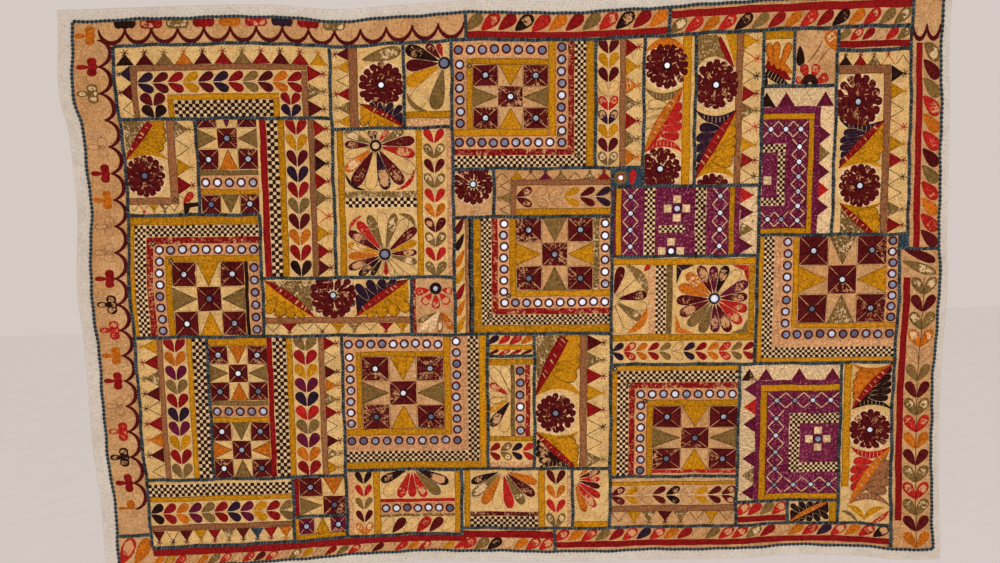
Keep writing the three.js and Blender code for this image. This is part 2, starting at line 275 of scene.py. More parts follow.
# What is sewn on each patch, from its edges inwards: (sides, motif, width of the strip, the motif's details).
# A star before the side fills what is left, "at" places a motif by its distance from the patch's top left
# corner, and "area" starts a new box of the plan.
DESIGNS = {
    "border_scallop": (
        ("area", (0, 30, 66, 842)), ("*L", "scallops", 0, 45, 24, 33, 15, "cG.HcoHHcKRocHRKco"),
        ("area", (40, 0, 647, 43)), ("*T", "scallops", 0, 43, 27, 35, 17, "kCGcoRncG"),
        ("area", (0, 0, 66, 60)), ("at", "bud", (28, 24), (1, 0), 15, "o"),
    ),
    "border_top_middle": (("B", "band", 11, "c"), ("*T", "leaves", 0, "gRcKRocgRKco")),
    "border_top_right": (("T", "gap", 4), ("T", "band", 12, "c"), ("*T", "leaves", 0, "GRoRKgcoRcKoRgG")),
    "border_right_upper": (
        ("area", (1405, 34, 1460, 68)), ("*T", "scallops", 0, 26, 24, 60, 15, ""),
        ("area", (1405, 66, 1460, 396)), ("L", "gap", 7), ("L", "band", 12, "c"),
        ("*R", "leaves", 0, "GmgRoRmgRoRm"),
    ),
    "border_right_lower": (
        ("area", (1391, 396, 1460, 444)), ("*R", "leaves", 0, "mG"), ("area", (1391, 444, 1460, 888)),
        ("L", "gap", 5), ("L", "band", 12, "c"), ("area", (1406, 444, 1460, 940)),
        ("*L", "vine", 0, "GmGOHgmGRomGRGmo", 0.86, "d"),
    ),
    "border_bottom_left": (
        ("area", (0, 886, 66, 940)), ("*T", "leaves", 0, "Ro"), ("area", (66, 907, 640, 940)),
        ("T", "band", 13, "c"), ("*T", "leaves", 0, "oYRHoGRHRmRHGyHcgRHmhRoRHyr"),
        ("area", (630, 896, 795, 940)), ("T", "gap", 3), ("T", "band", 14, "c"),
        ("*T", "leaves", 0, "RGKHoRR"),
    ),
    "border_bottom_right": (
        ("B", "gap", 5), ("B", "band", 12, "c"), ("*T", "leaves", 0, "RoRgcRnRocHgRRGcHoRnRoRK"),
    ),
    "vine_frame_top_left": (
        ("T", "gap", 3), ("T", "triangles", 28, "kmgomcgcmcy"), ("L", "triangles", 24, "nmw"),
        ("R", "triangles", 36, "cGm"), ("TLR", "band", 10, "b"), ("T", "vine", 39, "nmcymncgmoc", 1.0),
        ("L", "vine", 47, "mk", 1.0), ("R", "vine", 38, "cn", 1.0), ("TLR", "band", 10, "y"),
        ("*T", "checker", 0, 5),
    ),
    "marigold_left": (
        ("R", "triangles", 34, "Gwycw"), ("B", "triangles", 16, "wRyGw"), ("R", "band", 14, "b"),
        ("B", "band", 12, "b"), ("at", "wing", (3, -18, 74, 68), "", "G"), ("at", "marigold", (33, 95, 33)),
        ("at", "stop", (83, 136), 9), ("at", "petal", (97, 142), (113, 124), 12, "R"),
        ("at", "pad", ((96, 142), (122, 140), (122, 147), (106, 149), (104, 159), (97, 159)), "k"),
    ),
    "star_pair_left": (
        ("area", (191, 166, 296, 328)), ("T", "star", 84, "pggo", "m", "SvS/>S</S^S", 21),
        ("T", "band", 10, "g"), ("T", "mirrors", 23, (0.95, 0.55)), ("T", "band", 9, "y"),
        ("*T", "star", 0, "g", "m", "SvS"), ("area", (296, 166, 420, 438)), ("L", "band", 12, "c"),
        ("L", "checker", 19, 3), ("L", "band", 11, "y"), ("R", "triangles", 28, "cmkcgRycm"),
        ("R", "band", 10, "b"), ("*L", "vine", 0, "cymncgmock", 1.0),
    ),
    "star_block_left": (
        ("T", "band", 15, "y"), ("L", "band", 8, "y"), ("LT", "checker", 20), ("LT", "band", 12, "C"),
        ("L", "mirrors", 20, (0.95, 0.3)), ("T", "mirrors", 20, (0.5, 0.7)), ("LT", "band", 11, "y"),
        ("R", "mirrors", 21, (0.5, 0.6)), ("R", "band", 7, "k"), ("*T", "star", 0, "yggy"),
        ("at", "stop", (72, 78), 9), ("at", "stop", (42, 48), 9),
    ),
    "marigold_long": (
        ("B", "triangles", 20, "wcwKyGwcy"), ("B", "band", 11, "b"),
        ("at", "wing", (3, 3, 88, 68), "x", "G"), ("at", "wing", (158, 3, 253, 68), "", "n"),
        ("at", "marigold", (121, 30, 38)),
    ),
    "vine_column_left": (
        ("L", "triangles", 36, "ycGmKcomw"), ("L", "band", 10, "b"), ("L", "vine", 42, "copgcnpycg", 1.0),
        ("L", "band", 9, "y"), ("*L", "checker", 0, 4),
    ),
    "star_column_left": (
        ("R", "triangles", 29, "cwmoGcwmGy"), ("R", "band", 10, "b"), ("R", "vine", 45, "gcypnrgpoc", 1.0),
        ("R", "band", 10, "y"), ("R", "checker", 24, 4), ("R", "band", 10, "c"), ("T", "band", 14, "y"),
        ("T", "star", 97, "oggo"), ("T", "band", 10, "g"), ("T", "mirrors", 20, (0.3, 0.3)),
        ("T", "band", 9, "y"), ("*T", "star", 0, "goog"),
    ),
    "vine_rows_bottom_left": (
        ("T", "gap", 5), ("T", "checker", 22, 4), ("T", "band", 9, "y"),
        ("T", "vine", 40, "kcopgcnpycg", 1.0), ("T", "band", 10, "b"), ("*B", "triangles", 0, "mKmycGmtco"),
    ),
    "star_scrap_upper": (("L", "band", 9, "c"), ("*T", "star", 0, "og", "m", "Sv/>S")),
    "star_scrap_lower": (("B", "band", 9, "y"), ("L", "band", 6, "y"), ("*T", "star", 0, "y", "p", "S^S")),
    "marigold_top": (
        ("L", "triangles", 29, "mywcGy"), ("L", "band", 15, "b"),
        ("at", "petal", (54, 24), (119, 12), 22, "G"), ("at", "wing", (47, 98, 121, 139), "x", "n"),
        ("at", "marigold", (85, 68, 36)),
    ),
    "daisy_half_top": (
        ("B", "band", 13, "H"), ("B", "band", 12, "y"),
        ("*T", "daisy", 0, (68, 36), 90, "gHymKMR", 90, 266, "n"),
        ("at", "crescent", (5, 84), (38, 113), 8, 8, "g"),
    ),
    "daisy_pair": (
        ("L", "gap", 6), ("L", "band", 11, "y"), ("R", "band", 9, "h"), ("R", "vine", 41, "rGmGroMGrG"),
        ("R", "band", 10, "y"), ("T", "daisy", 104, (73, 29), 80, "MRWMNWMOWMGWMKHRG", -18, 342, "K"),
        ("at", "crescent", (21, 76), (54, 104), 8, 6, "k"),
        ("at", "crescent", (106, 104), (137, 70), 8, 7, "R"), ("T", "band", 11, "G"),
        ("T", "checker", 17, 3), ("*T", "daisy", 0, (84, 214), 73, "MGHWWrWKKMoYMRGHGWMy", -12, 348, "k"),
        ("at", "crescent", (110, 146), (137, 168), -7, 8, "g"),
        ("at", "crescent", (24, 176), (46, 148), -5, 6, "R"),
    ),
    "flower_scrap": (
        ("L", "band", 6, "C"), ("at", "daisy", (42, 20), 36, "RRRRR", -10, 190, ""),
        ("at", "disc", (42, 20, 11), "k"), ("at", "mirror", (42, 20), 3.8, "k"),
        ("at", "petal", (44, 62), (10, 78), 8, "G"), ("at", "petal", (46, 60), (12, 96), 10, "w"),
        ("at", "petal", (48, 60), (30, 98), 10, "w"), ("at", "petal", (50, 62), (48, 98), 9, "B"),
        ("at", "petal", (52, 62), (70, 92), 12, "O"),
    ),
    "star_block_lower": (
        ("RB", "band", 13, "y"), ("RB", "checker", 20), ("RB", "band", 9, "h"),
        ("R", "mirrors", 20, (0.5, 0.4)), ("B", "mirrors", 20, (0.1, 0.6)), ("RB", "band", 12, "y"),
        ("T", "mirrors", 27, (0.3, 0.6)), ("L", "mirrors", 22, (0.6, 0.4)), ("LT", "band", 9, "y"),
        ("*T", "star", 0, "yggy", "M"),
    ),
    "daisy_mirror_row": (
        ("L", "band", 11, "H"), ("L", "vine", 35, "krgmO"), ("L", "band", 12, "y"), ("R", "band", 10, "y"),
        ("T", "daisy", 53, (117, -4), 72, "KgRrRHK", 14, 166, ""), ("T", "band", 7, "r"),
        ("T", "mirrors", 22), ("T", "band", 6, "G"), ("*T", "leaves", 0, "HmHRmH"),
    ),
    "star_block_top": (
        ("R", "band", 14, "y"), ("RB", "checker", 20), ("RB", "band", 11, "C"),
        ("R", "mirrors", 21, (0.4, 0.5)), ("B", "mirrors", 21, (0.1, 0.8)), ("RB", "band", 12, "y"),
        ("T", "mirrors", 28, (0.4, 0.2)), ("L", "mirrors", 23, (0.5, 0.3)), ("LT", "band", 10, "y"),
        ("*T", "star", 0, "yggy", "M"), ("at", "stop", (30, 42), 9), ("at", "stop", (181, 154), 9),
        ("at", "stop", (211, 190), 9),
    ),
    "vine_column_top": (
        ("L", "vine", 38, "mymHRNymG", 1.0), ("L", "band", 10, "b"), ("*R", "triangles", 0, "cyOGcGo"),
    ),
    "marigold_scrap": (("at", "marigold", (34, 26, 32)),),
    "vine_scrap": (
        ("T", "triangles", 17, "wyMpGwGc"), ("L", "triangles", 26, "wgw"), ("TL", "band", 10, "b"),
        ("B", "band", 12, "y"), ("*T", "vine", 0, "MHHymn"),
    ),
    "teal_scrap": (
        ("at", "disc", (14, 17, 12), "g"), ("at", "mirror", (14, 17), 3.5, "r"),
        ("at", "petal", (33, 31), (36, 4), 13, "r"),
    ),
    "narrow_scrap": (("R", "band", 4, "k"), ("R", "band", 6, "b"), ("*L", "leaves", 0, "mkoycoy")),
    "star_block_centre": (
        ("LB", "band", 14, "y"), ("LB", "checker", 18), ("LB", "band", 11, "C"),
        ("L", "mirrors", 20, (0.7, 0.6)), ("B", "mirrors", 20, (0.6, 1.0)), ("LB", "band", 11, "y"),
        ("R", "mirrors", 19, (0.9, 0.4)), ("R", "band", 11, "G"), ("*T", "star", 0, "gyyg", "M"),
        ("at", "stop", (63, 136), 9), ("at", "stop", (31, 171), 9),
    ),
    "leaf_scrap": (("T", "leaves", 17, "nrRo"), ("T", "band", 9, "y"), ("*T", "leaves", 0, "mRcm")),
    "petal_mirror_panel": (
        ("T", "gap", 3), ("T", "band", 11, "y"), ("B", "band", 11, "H"), ("B", "vine", 38, "cGnr"),
        ("B", "band", 9, "y"), ("R", "gap", 5), ("R", "band", 9, "C"), ("R", "mirrors", 18, (0.2, 0.6)),
        ("R", "band", 8, "g"), ("*T", "daisy", 0, (44, 74), 66, "WKYWHRWW", 95, 265, ""),
    ),
    "marigold_wing_lower": (
        ("R", "triangles", 40, "mGcycKwG"), ("R", "band", 13, "b"),
        ("at", "wing", (2, -34, 80, 110), "", "G"), ("at", "wing", (2, 176, 78, 246), "y", "K"),
        ("at", "marigold", (37, 142, 33)),
    ),
    "daisy_checker": (
        ("L", "gap", 3), ("L", "band", 10, "y"), ("R", "band", 8, "H"), ("R", "vine", 39, "morG"),
        ("R", "band", 12, "y"), ("B", "checker", 21), ("B", "band", 9, "M"),
        ("*T", "daisy", 0, (74, 3), 74, "oMGrHoGK", 12, 168, "d"),
    ),
    "petal_scrap": (
        ("B", "band", 11, "y"), ("R", "gap", 14), ("*T", "daisy", 0, (2, 20), 66, "oMRmrRo", -44, 80, ""),
    ),
    "marigold_column_top": (
        ("R", "gap", 6), ("R", "band", 14, "y"), ("at", "crescent", (2, 24), (68, 24), -14, 14, "o"),
        ("at", "wing", (2, 82, 66, 186), "", "g", "r", "o"), ("at", "marigold", (38, 47, 34)),
        ("at", "marigold", (29, 214, 33)),
    ),
    "marigold_wing_top": (
        ("R", "triangles", 32, "yRKcGRycK"), ("R", "band", 12, "b"),
        ("at", "pad", ((2, 3), (34, 3), (44, 20), (49, 42), (34, 36), (16, 38), (2, 50)), "G"),
        ("at", "pad", ((48, 3), (66, 3), (68, 30), (66, 56), (58, 32)), "y"),
        ("at", "crescent", (36, 1), (64, 54), 3, 11, "c"), ("at", "wing", (2, 120, 70, 230), "", "n"),
        ("at", "marigold", (34, 80, 36)), ("at", "marigold", (32, 258, 33)),
    ),
    "orange_scrap": (
        ("T", "band", 12, "y"), ("at", "petal", (12, 48), (8, 20), 12, "o", "d"),
        ("at", "petal", (20, 52), (22, 18), 13, "o", "d"),
        ("at", "petal", (30, 56), (44, 20), 13, "o", "d"),
        ("at", "crescent", (-4, 36), (50, 66), 0, 18, "o"),
        ("at", "crescent", (-6, 44), (48, 76), 0, 16, "c"),
        ("at", "crescent", (-6, 56), (46, 86), 0, 13, "k", "w"), ("at", "petal", (3, 62), (6, 84), 8, "k"),
    ),
    "black_flower_scrap": (
        ("at", "petal", (72, 34), (58, 4), 22, "O"), ("at", "crescent", (24, 50), (48, 18), 2, 3, "B"),
        ("at", "crescent", (42, 52), (62, 30), -2, 3, "B"), ("at", "petal", (9, 24), (12, 56), 15, "k"),
        ("at", "daisy", (28, 86), 36, "RRRR", 185, 355, ""), ("at", "disc", (28, 82, 15), "k", 1.6),
        ("at", "disc", (28, 83, 4), "w", 2.2),
    ),
    "leaf_strip_right": (("B", "gap", 2), ("B", "band", 10, "c"), ("*T", "leaves", 0, "gRcHRG")),
    "purple_panel_tall": (
        ("T", "sawtooth", 30, "kpwp", 0.35), ("R", "sawtooth", 24, "wpGprpw"), ("TR", "gap", 10),
        ("TRB", "band", 10, "y"), ("TRB", "diamonds", 30), ("TRB", "gap", 8), ("TRB", "checker", 14),
        ("at", "cross", (-4, 150, 24), "w"),
    ),
    "marigold_pair_right": (
        ("T", "triangles", 20, "kcGRw"), ("R", "triangles", 34, "kywRycKwGc"), ("TR", "band", 13, "b"),
        ("at", "wing", (8, 106, 86, 182), "", "n"), ("at", "wing", (12, 240, 84, 302), "y", "G"),
        ("at", "marigold", (38, 77, 39)), ("at", "marigold", (46, 211, 34)),
    ),
    "purple_panel_wide": (
        ("R", "sawtooth", 31, "rpGp"), ("R", "gap", 9), ("R", "band", 10, "y"), ("L", "gap", 4),
        ("L", "band", 10, "y"), ("LR", "diamonds", 31), ("LR", "gap", 8), ("LR", "checker", 19),
        ("at", "cross", (111, 38, 23), "w"), ("at", "cross", (102, 111, 23), "w"),
        ("area", (972, 350, 1022, 368)), ("*T", "checker", 0),
    ),
    "daisy_frame": (
        ("T", "gap", 2), ("T", "band", 11, "y"), ("B", "gap", 3), ("B", "vine", 37, "nRocgHncoRgc"),
        ("B", "band", 12, "y"), ("R", "gap", 2), ("R", "band", 10, "y"),
        ("L", "daisy", 62, (2, 75), 62, "MHWMWGHH", -86, 90, ""),
        ("at", "crescent", (24, 14), (62, 66), -8, 16, "G"), ("at", "petal", (56, 26), (66, 15), 10, "r"),
        ("at", "crescent", (28, 134), (62, 90), 8, 13, "o"), ("L", "band", 12, "H"), ("L", "checker", 19),
        ("L", "band", 11, "g"), ("*T", "daisy", 0, (178, 74), 66, "MRRMPggMMoOMPKWP", -14, 346, "n"),
        ("at", "spandrel", (112, 15), (32, 34), "n"), ("at", "spandrel", (237, 16), (-30, 34), "r"),
        ("at", "spandrel", (112, 135), (32, -34), "o"), ("at", "spandrel", (237, 135), (-30, -26), "g"),
    ),
    "star_block_right": (
        ("LB", "band", 8, "y"), ("LB", "checker", 19), ("LB", "band", 12, "h"),
        ("L", "mirrors", 21, (0.4, 0.6)), ("B", "mirrors", 21, (0.4, 0.2)), ("LB", "band", 9, "y"),
        ("R", "mirrors", 20, (0.4, 0.2)), ("*T", "star", 0, "GyyG"),
    ),
    "star_block_lower_right": (
        ("TL", "band", 9, "y"), ("TL", "checker", 21), ("TL", "band", 11, "C"),
        ("T", "mirrors", 21, (0.7, 0.4)), ("L", "mirrors", 21, (0.9, 0.4)), ("TL", "band", 11, "y"),
        ("B", "gap", 4), ("B", "band", 7, "R"), ("*T", "star", 0, "yggy"), ("at", "stop", (7, 7), 9),
        ("at", "stop", (32, 36), 9), ("at", "stop", (61, 66), 9),
    ),
    "purple_panel_lower": (
        ("T", "sawtooth", 28, "Kpwpwp"), ("L", "sawtooth", 28, "prpwpGp"), ("TL", "gap", 8),
        ("TLB", "band", 12, "y"), ("TLB", "diamonds", 33), ("TLB", "gap", 7), ("TLB", "checker", 19),
        ("at", "cross", (141, 138, 23), "w"),
    ),
    "marigold_column_lower": (
        ("area", (1300, 596, 1391, 828)), ("L", "gap", 3), ("L", "band", 13, "y"),
        ("area", (1300, 596, 1391, 896)), ("at", "wing", (20, 3, 89, 84), "", "o", "k", "c"),
        ("at", "wing", (20, 154, 89, 262), "", "r", "b", "o"),
        ("at", "crescent", (46, 292), (16, 266), 5, 11, "y"),
        ("at", "crescent", (46, 292), (80, 266), -5, 11, "y"),
        ("at", "crescent", (58, 298), (88, 272), 3, 9, "R"),
        ("at", "crescent", (6, 276), (34, 297), -4, 7, "G"), ("at", "marigold", (53, 122, 34)),
    ),
    "vine_triangles_lower": (
        ("T", "gap", 7), ("T", "band", 7, "y"), ("T", "vine", 38, "MyHmKHymM"), ("T", "band", 12, "b"),
        ("*B", "triangles", 0, "wyGmGwyw"),
    ),
    "leaf_red_scrap": (("B", "gap", 3), ("B", "band", 12, "c"), ("*T", "leaves", 0, "RrgR")),
    "black_curl_scrap": (("R", "band", 13, "y"), ("at", "wing", (4, 2, 74, 43), "", "k", "k", "o")),
}

# A feather's body and its finger lobes (root, tip), in shares of the wing's box
FEATHER_BODY = {
    "upright": ((0.03, 1.0), (0.25, 0.68), (0.5, 0.42), (0.75, 0.2), (0.97, 0.0), (0.99, 0.14), (0.88, 0.34),
                (0.76, 0.56), (0.68, 0.78), (0.46, 0.9)),
    "hanging": ((0.03, 0.99), (0.5, 0.5), (0.97, 0.03), (0.99, 0.5), (0.9, 0.72), (0.7, 0.84), (0.4, 0.92)),
}
FEATHER_FINGERS = {
    "upright": (((0.52, 0.5), (0.97, 0.24)), ((0.47, 0.58), (1.0, 0.41)), ((0.43, 0.66), (1.0, 0.58)),
                ((0.4, 0.74), (0.93, 0.75))),
    "hanging": (((0.26, 0.84), (0.33, 1.0)), ((0.42, 0.7), (0.54, 1.0)), ((0.58, 0.56), (0.76, 0.98)),
                ((0.74, 0.42), (0.97, 0.88))),
}

# The camera stands where the photograph was taken from
CAMERA_PLACE = (-0.0484, -1.4624, -0.2808)
CAMERA_TURN = (82.6466, 1.6720, -0.5996)
CAMERA_LENS = 30.684
CAMERA_SENSOR = 36.0

# Floor, light all round, and soft lights: (place, target, size, power)
FLOOR_HALF = 6.0
FLOOR_LEVEL = -1.6
STUDIO_LIGHT = (0.7, 0.62, 0.58, 1)
STUDIO_STRENGTH = 0.945
SOFT_LIGHTS = {
    "key_light": ((0.3, -1.7, -0.2), (-0.1, 0, -0.68), 2.2, 15),
    "fill_light": ((-1.2, -1.9, -0.7), (0, 0, -0.6), 1.4, 4),
}

dice = np.random.default_rng(11)


def linear(shade):
    """A colour of the screen as the light it stands for."""
    parts = [part / 255 for part in shade]
    return tuple(part / 12.92 if part <= 0.04045 else ((part + 0.055) / 1.055) ** 2.4 for part in parts)


def colour_property(name, shade):
    """A colour that a maker may change."""
    return FloatVectorProperty(
        name=name, description=f"Colour of the {name.lower()}", subtype="COLOR", size=3, min=0, max=1,
        default=linear(shade))


def length_property(name, description, default, low, high):
    """A length in metres that a maker may change."""
    return FloatProperty(
        name=name, description=description, default=default, min=low, max=high, unit="LENGTH")


class HangingSizes(bpy.types.PropertyGroup):
    """Sizes of the sewing that a maker may change."""
    pad_height: length_property(
        "Stitch height", "How far satin stitch stands up from its cloth", 0.0008, 0.0002, 0.003)
    mirror_radius: length_property(
        "Mirror radius", "Radius of the glass that shows inside its ring", 0.0047, 0.003, 0.009)
    stitch_pitch: length_property(
        "Couching pitch", "Distance between the stitches over a seam", 0.0054, 0.004, 0.012)
    cloth_step: length_property(
        "Cloth step", "Distance between the points of a patch", 0.007, 0.004, 0.02)
    check_size: length_property(
        "Check size", "Side of one check of a chequered strip", 0.005, 0.004, 0.012)


class HangingColours(bpy.types.PropertyGroup):
    """Colours of the cloths, the threads and the glass."""
    white_cotton: colour_property("Backing", (218, 206, 190))
    cream_cotton: colour_property("Cream cloth", (231, 184, 112))
    peach_cotton: colour_property("Peach cloth", (206, 150, 94))
    purple_cotton: colour_property("Purple cloth", (102, 20, 52))
    teal_cotton: colour_property("Teal cloth", (46, 68, 84))
    couching_thread: colour_property("Couching thread", (64, 74, 78))
    # Mirror glass is a painted reflection, pale as the studio that it would show; aged glass is darker
    mirror_glass: colour_property("Mirror glass", (216, 222, 234))
    aged_glass: colour_property("Aged glass", (92, 98, 124))
    floor: colour_property("Floor", (252, 251, 251))
    __annotations__.update({
        name: colour_property(f"{name.capitalize()} thread", shade) for name, shade in THREADS.values()})


def smoothstep(value, low, high):
    """From 0 to 1 between two values, level at both."""
    share = np.clip((value - low) / (high - low), 0, 1)
    return share * share * (3 - 2 * share)


def bow_curve(rows):
    """A smooth curve through the stations of one edge."""
    stations = np.array([row[0] for row in rows], float)
    outs = np.array([row[1] for row in rows], float)
    secants = np.diff(outs) / np.diff(stations)
    slopes = np.concatenate(([secants[0]], (secants[:-1] + secants[1:]) / 2, [secants[-1]]))

    def out(at):
        index = np.clip(np.searchsorted(stations, at, side="right") - 1, 0, len(stations) - 2)
        span = stations[index + 1] - stations[index]
        t = (at - stations[index]) / span
        start = (2 * t**3 - 3 * t**2 + 1) * outs[index] + (t**3 - 2 * t**2 + t) * span * slopes[index]
        end = (-2 * t**3 + 3 * t**2) * outs[index + 1] + (t**3 - t**2) * span * slopes[index + 1]
        return start + end

    return out


BOWS = {edge: bow_curve(rows) for edge, rows in EDGE_BOWS.items()}


def fade(distance):
    """How much of an edge's bow is left at a distance from it."""
    return np.maximum(0, 1 - distance / BOW_REACH) ** 2


def bowed(plan):
    """Where points of the flat plan hang once the edges have bowed and the whole is turned level."""
    u, v = np.asarray(plan, float).T
    across = np.clip(u, 0, FACE_WIDTH)
    drop = np.clip(v, 0, FACE_HEIGHT)
    x = u - fade(across) * BOWS["left"](drop) + fade(FACE_WIDTH - across) * BOWS["right"](drop)
    z = -v + fade(drop) * BOWS["top"](across) - fade(FACE_HEIGHT - drop) * BOWS["bottom"](across)
    cos, sin = math.cos(LEVEL_TURN), math.sin(LEVEL_TURN)
    return np.stack((x * cos + z * sin, z * cos - x * sin), axis=-1)


ORIGIN = bowed([(FACE_WIDTH / 2, -MARGIN["top"])])[0]


def fold_height(x, z):
    """How far the folds stand out from the wall."""
    out = np.zeros_like(x)
    for ridge, lean, half, depth, start, full in FOLDS:
        side = np.minimum(1, np.abs(x - ridge + lean * z / FACE_HEIGHT) / half)
        out += depth * smoothstep(-z, start, full) * (0.5 + 0.5 * np.cos(math.pi * side))
    return out


def crease_height(plan):
    """Hand-sewn unevenness in waves about 70, 270 and 20 mm long, and the soft creases."""
    u, v = plan.T
    out = 0.3 * np.sin(u / 11 + 1.3 * np.sin(v / 37)) * np.sin(v / 13 + 1.1 * np.sin(u / 41))
    out += 0.35 * np.sin(u / 43 + v / 71) * np.sin(v / 53 - u / 97)
    out += 0.2 * np.sin(u / 3.1 + 0.9 * np.sin(v / 12)) * np.sin(v / 3.4 + 0.9 * np.sin(u / 14))
    for at_u, at_v, angle, length, half, height in CREASES:
        turn = math.radians(angle)
        along = (u - at_u) * math.cos(turn) + (v - at_v) * math.sin(turn)
        across = (v - at_v) * math.cos(turn) - (u - at_u) * math.sin(turn)
        out += height * np.exp(-(across / half) ** 2) * np.exp(-(2 * along / length) ** 4)
    return out


def hang(plan, height):
    """Points of the plan, at heights above the back of the hanging, in metres where they hang."""
    plan = np.asarray(plan, float)
    x, z = (bowed(plan) - ORIGIN).T
    y = -(fold_height(x, z) + crease_height(plan) + height)
    return np.stack((x, y, z), axis=-1) * MM


class Value:
    """A number that varies over a surface, used in sums and products like any other."""

    def __init__(self, finish, socket):
        self.finish = finish
        self.socket = socket

    def math(self, operation, *others):
        return self.finish.math(operation, self, *others)

    def __add__(self, other):
        return self.math("ADD", other)

    __radd__ = __add__

    def __sub__(self, other):
        return self.math("SUBTRACT", other)

    def __rsub__(self, other):
        return self.finish.math("SUBTRACT", other, self)

    def __mul__(self, other):
        return self.math("MULTIPLY", other)

    __rmul__ = __mul__

    def clamped(self):
        return self.math("MAXIMUM", 0).math("MINIMUM", 1)

    def above(self, level, gain):
        """How far it is above a level, from 0 to 1."""
        return ((self - level) * gain).clamped()


class Finish:
    """One material and the nodes that make it."""

    def __init__(self, name):
        self.material = bpy.data.materials.new(name)
        self.material.use_nodes = True
        self.tree = self.material.node_tree
        self.shader = self.tree.nodes["Principled BSDF"]

    def node(self, kind, settings=None, sockets=None):
        """A node of one kind, with its settings made first and its sockets fed after."""
        made = self.tree.nodes.new(kind)
        for name, setting in (settings or {}).items():
            setattr(made, name, setting)
        for name, given in (sockets or {}).items():
            self.feed(made.inputs[name], given)
        return made

    def feed(self, socket, given):
        """Links a value or another socket to a socket, or sets it to a plain number or colour."""
        if isinstance(given, Value):
            given = given.socket
        if isinstance(given, bpy.types.NodeSocket):
            self.tree.links.new(given, socket)
        else:
            socket.default_value = given

    def math(self, operation, *inputs):
        made = self.node("ShaderNodeMath", {"operation": operation}, dict(enumerate(inputs)))
        return Value(self, made.outputs[0])

    def mix(self, share, first, second):
        """Two colours, with a share of the second."""
        made = self.node(
            "ShaderNodeMix", {"data_type": "RGBA", "blend_type": "MIX"},
            {0: share, 6: self.shade(first), 7: self.shade(second)})
        return made.outputs[2]

    def shade(self, given):
        return given if isinstance(given, bpy.types.NodeSocket) else (*given, 1)

    def place(self):
        return self.node("ShaderNodeTexCoord").outputs["Object"]

    def stretched(self, vector, scale):
        made = self.node("ShaderNodeVectorMath", {"operation": "MULTIPLY"}, {0: vector, 1: scale})
        return made.outputs[0]

    def noise(self, vector, scale, detail=2):
        made = self.node("ShaderNodeTexNoise", None, {"Vector": vector, "Scale": scale, "Detail": detail})
        return Value(self, made.outputs[0])

    def parts(self, vector):
        made = self.node("ShaderNodeSeparateXYZ", None, {0: vector})
        return [Value(self, socket) for socket in made.outputs]

    def attribute(self, name):
        made = self.node("ShaderNodeAttribute", {"attribute_name": name})
        return Value(self, made.outputs["Fac"])

    def stitch_map(self):
        return self.node("ShaderNodeUVMap", {"uv_map": "Stitch"}).outputs[0]

    def bump(self, height, strength, distance):
        made = self.node(
            "ShaderNodeBump", None, {"Strength": strength, "Distance": distance, "Height": height})
        return made.outputs[0]

    def dress(self, **sockets):
        """The material, once its shader's sockets are fed. An underscore in a name stands for a space."""
        for name, given in sockets.items():
            self.feed(self.shader.inputs[name.replace("_", " ")], given)
        return self.material


def toned(shade, share):
    """A colour made darker or lighter."""
    return tuple(min(1, part * share) for part in shade)


def cotton_finish(name, colours, mottle=1.0):
    """Plain-woven cotton with slubs, flecks, faded places, stains and grime."""
    shade = tuple(getattr(colours, name))
    faded, stain, fleck = WORN_SHADES[name]
    finish = Finish(name)
    place = finish.place()
    x, _, z = finish.parts(place)
    weave = (x * 5200).math("SINE") * (z * 5200).math("SINE")
    weft = finish.noise(finish.stretched(place, (60, 40, 700)), 1, 3)
    warp = finish.noise(finish.stretched(place, (700, 40, 60)), 1, 3)
    slubs = weft * 0.5 + warp * 0.5
    cloud = finish.noise(place, 9, 4)
    grime = finish.noise(place, 34, 5)
    spots = finish.noise(place, 70, 3).above(0.57, 6)
    flecks = finish.noise(place, 330, 3).above(0.55, 9)
    pits = finish.noise(place, 250, 4).above(0.53, 8)
    colour = finish.mix(cloud.above(0.4, 3), shade, faded)
    colour = finish.mix(spots * 0.55 * mottle, colour, stain)
    colour = finish.mix(slubs.above(0.44, 5) * 0.45 * mottle, colour, toned(shade, 0.5))
    colour = finish.mix(grime.above(0.41, 3) * 0.55 * mottle, colour, toned(shade, 0.5))
    colour = finish.mix(pits * 0.62 * mottle, colour, toned(shade, 0.4))
    colour = finish.mix(flecks * 0.7, colour, fleck)
    height = weave * 0.4 + slubs * 1.5 + grime
    return finish.dress(
        Base_Color=colour, Roughness=slubs * 0.2 + 0.75, Normal=finish.bump(height, 0.6, 0.0007),
        Specular_IOR_Level=0.03)


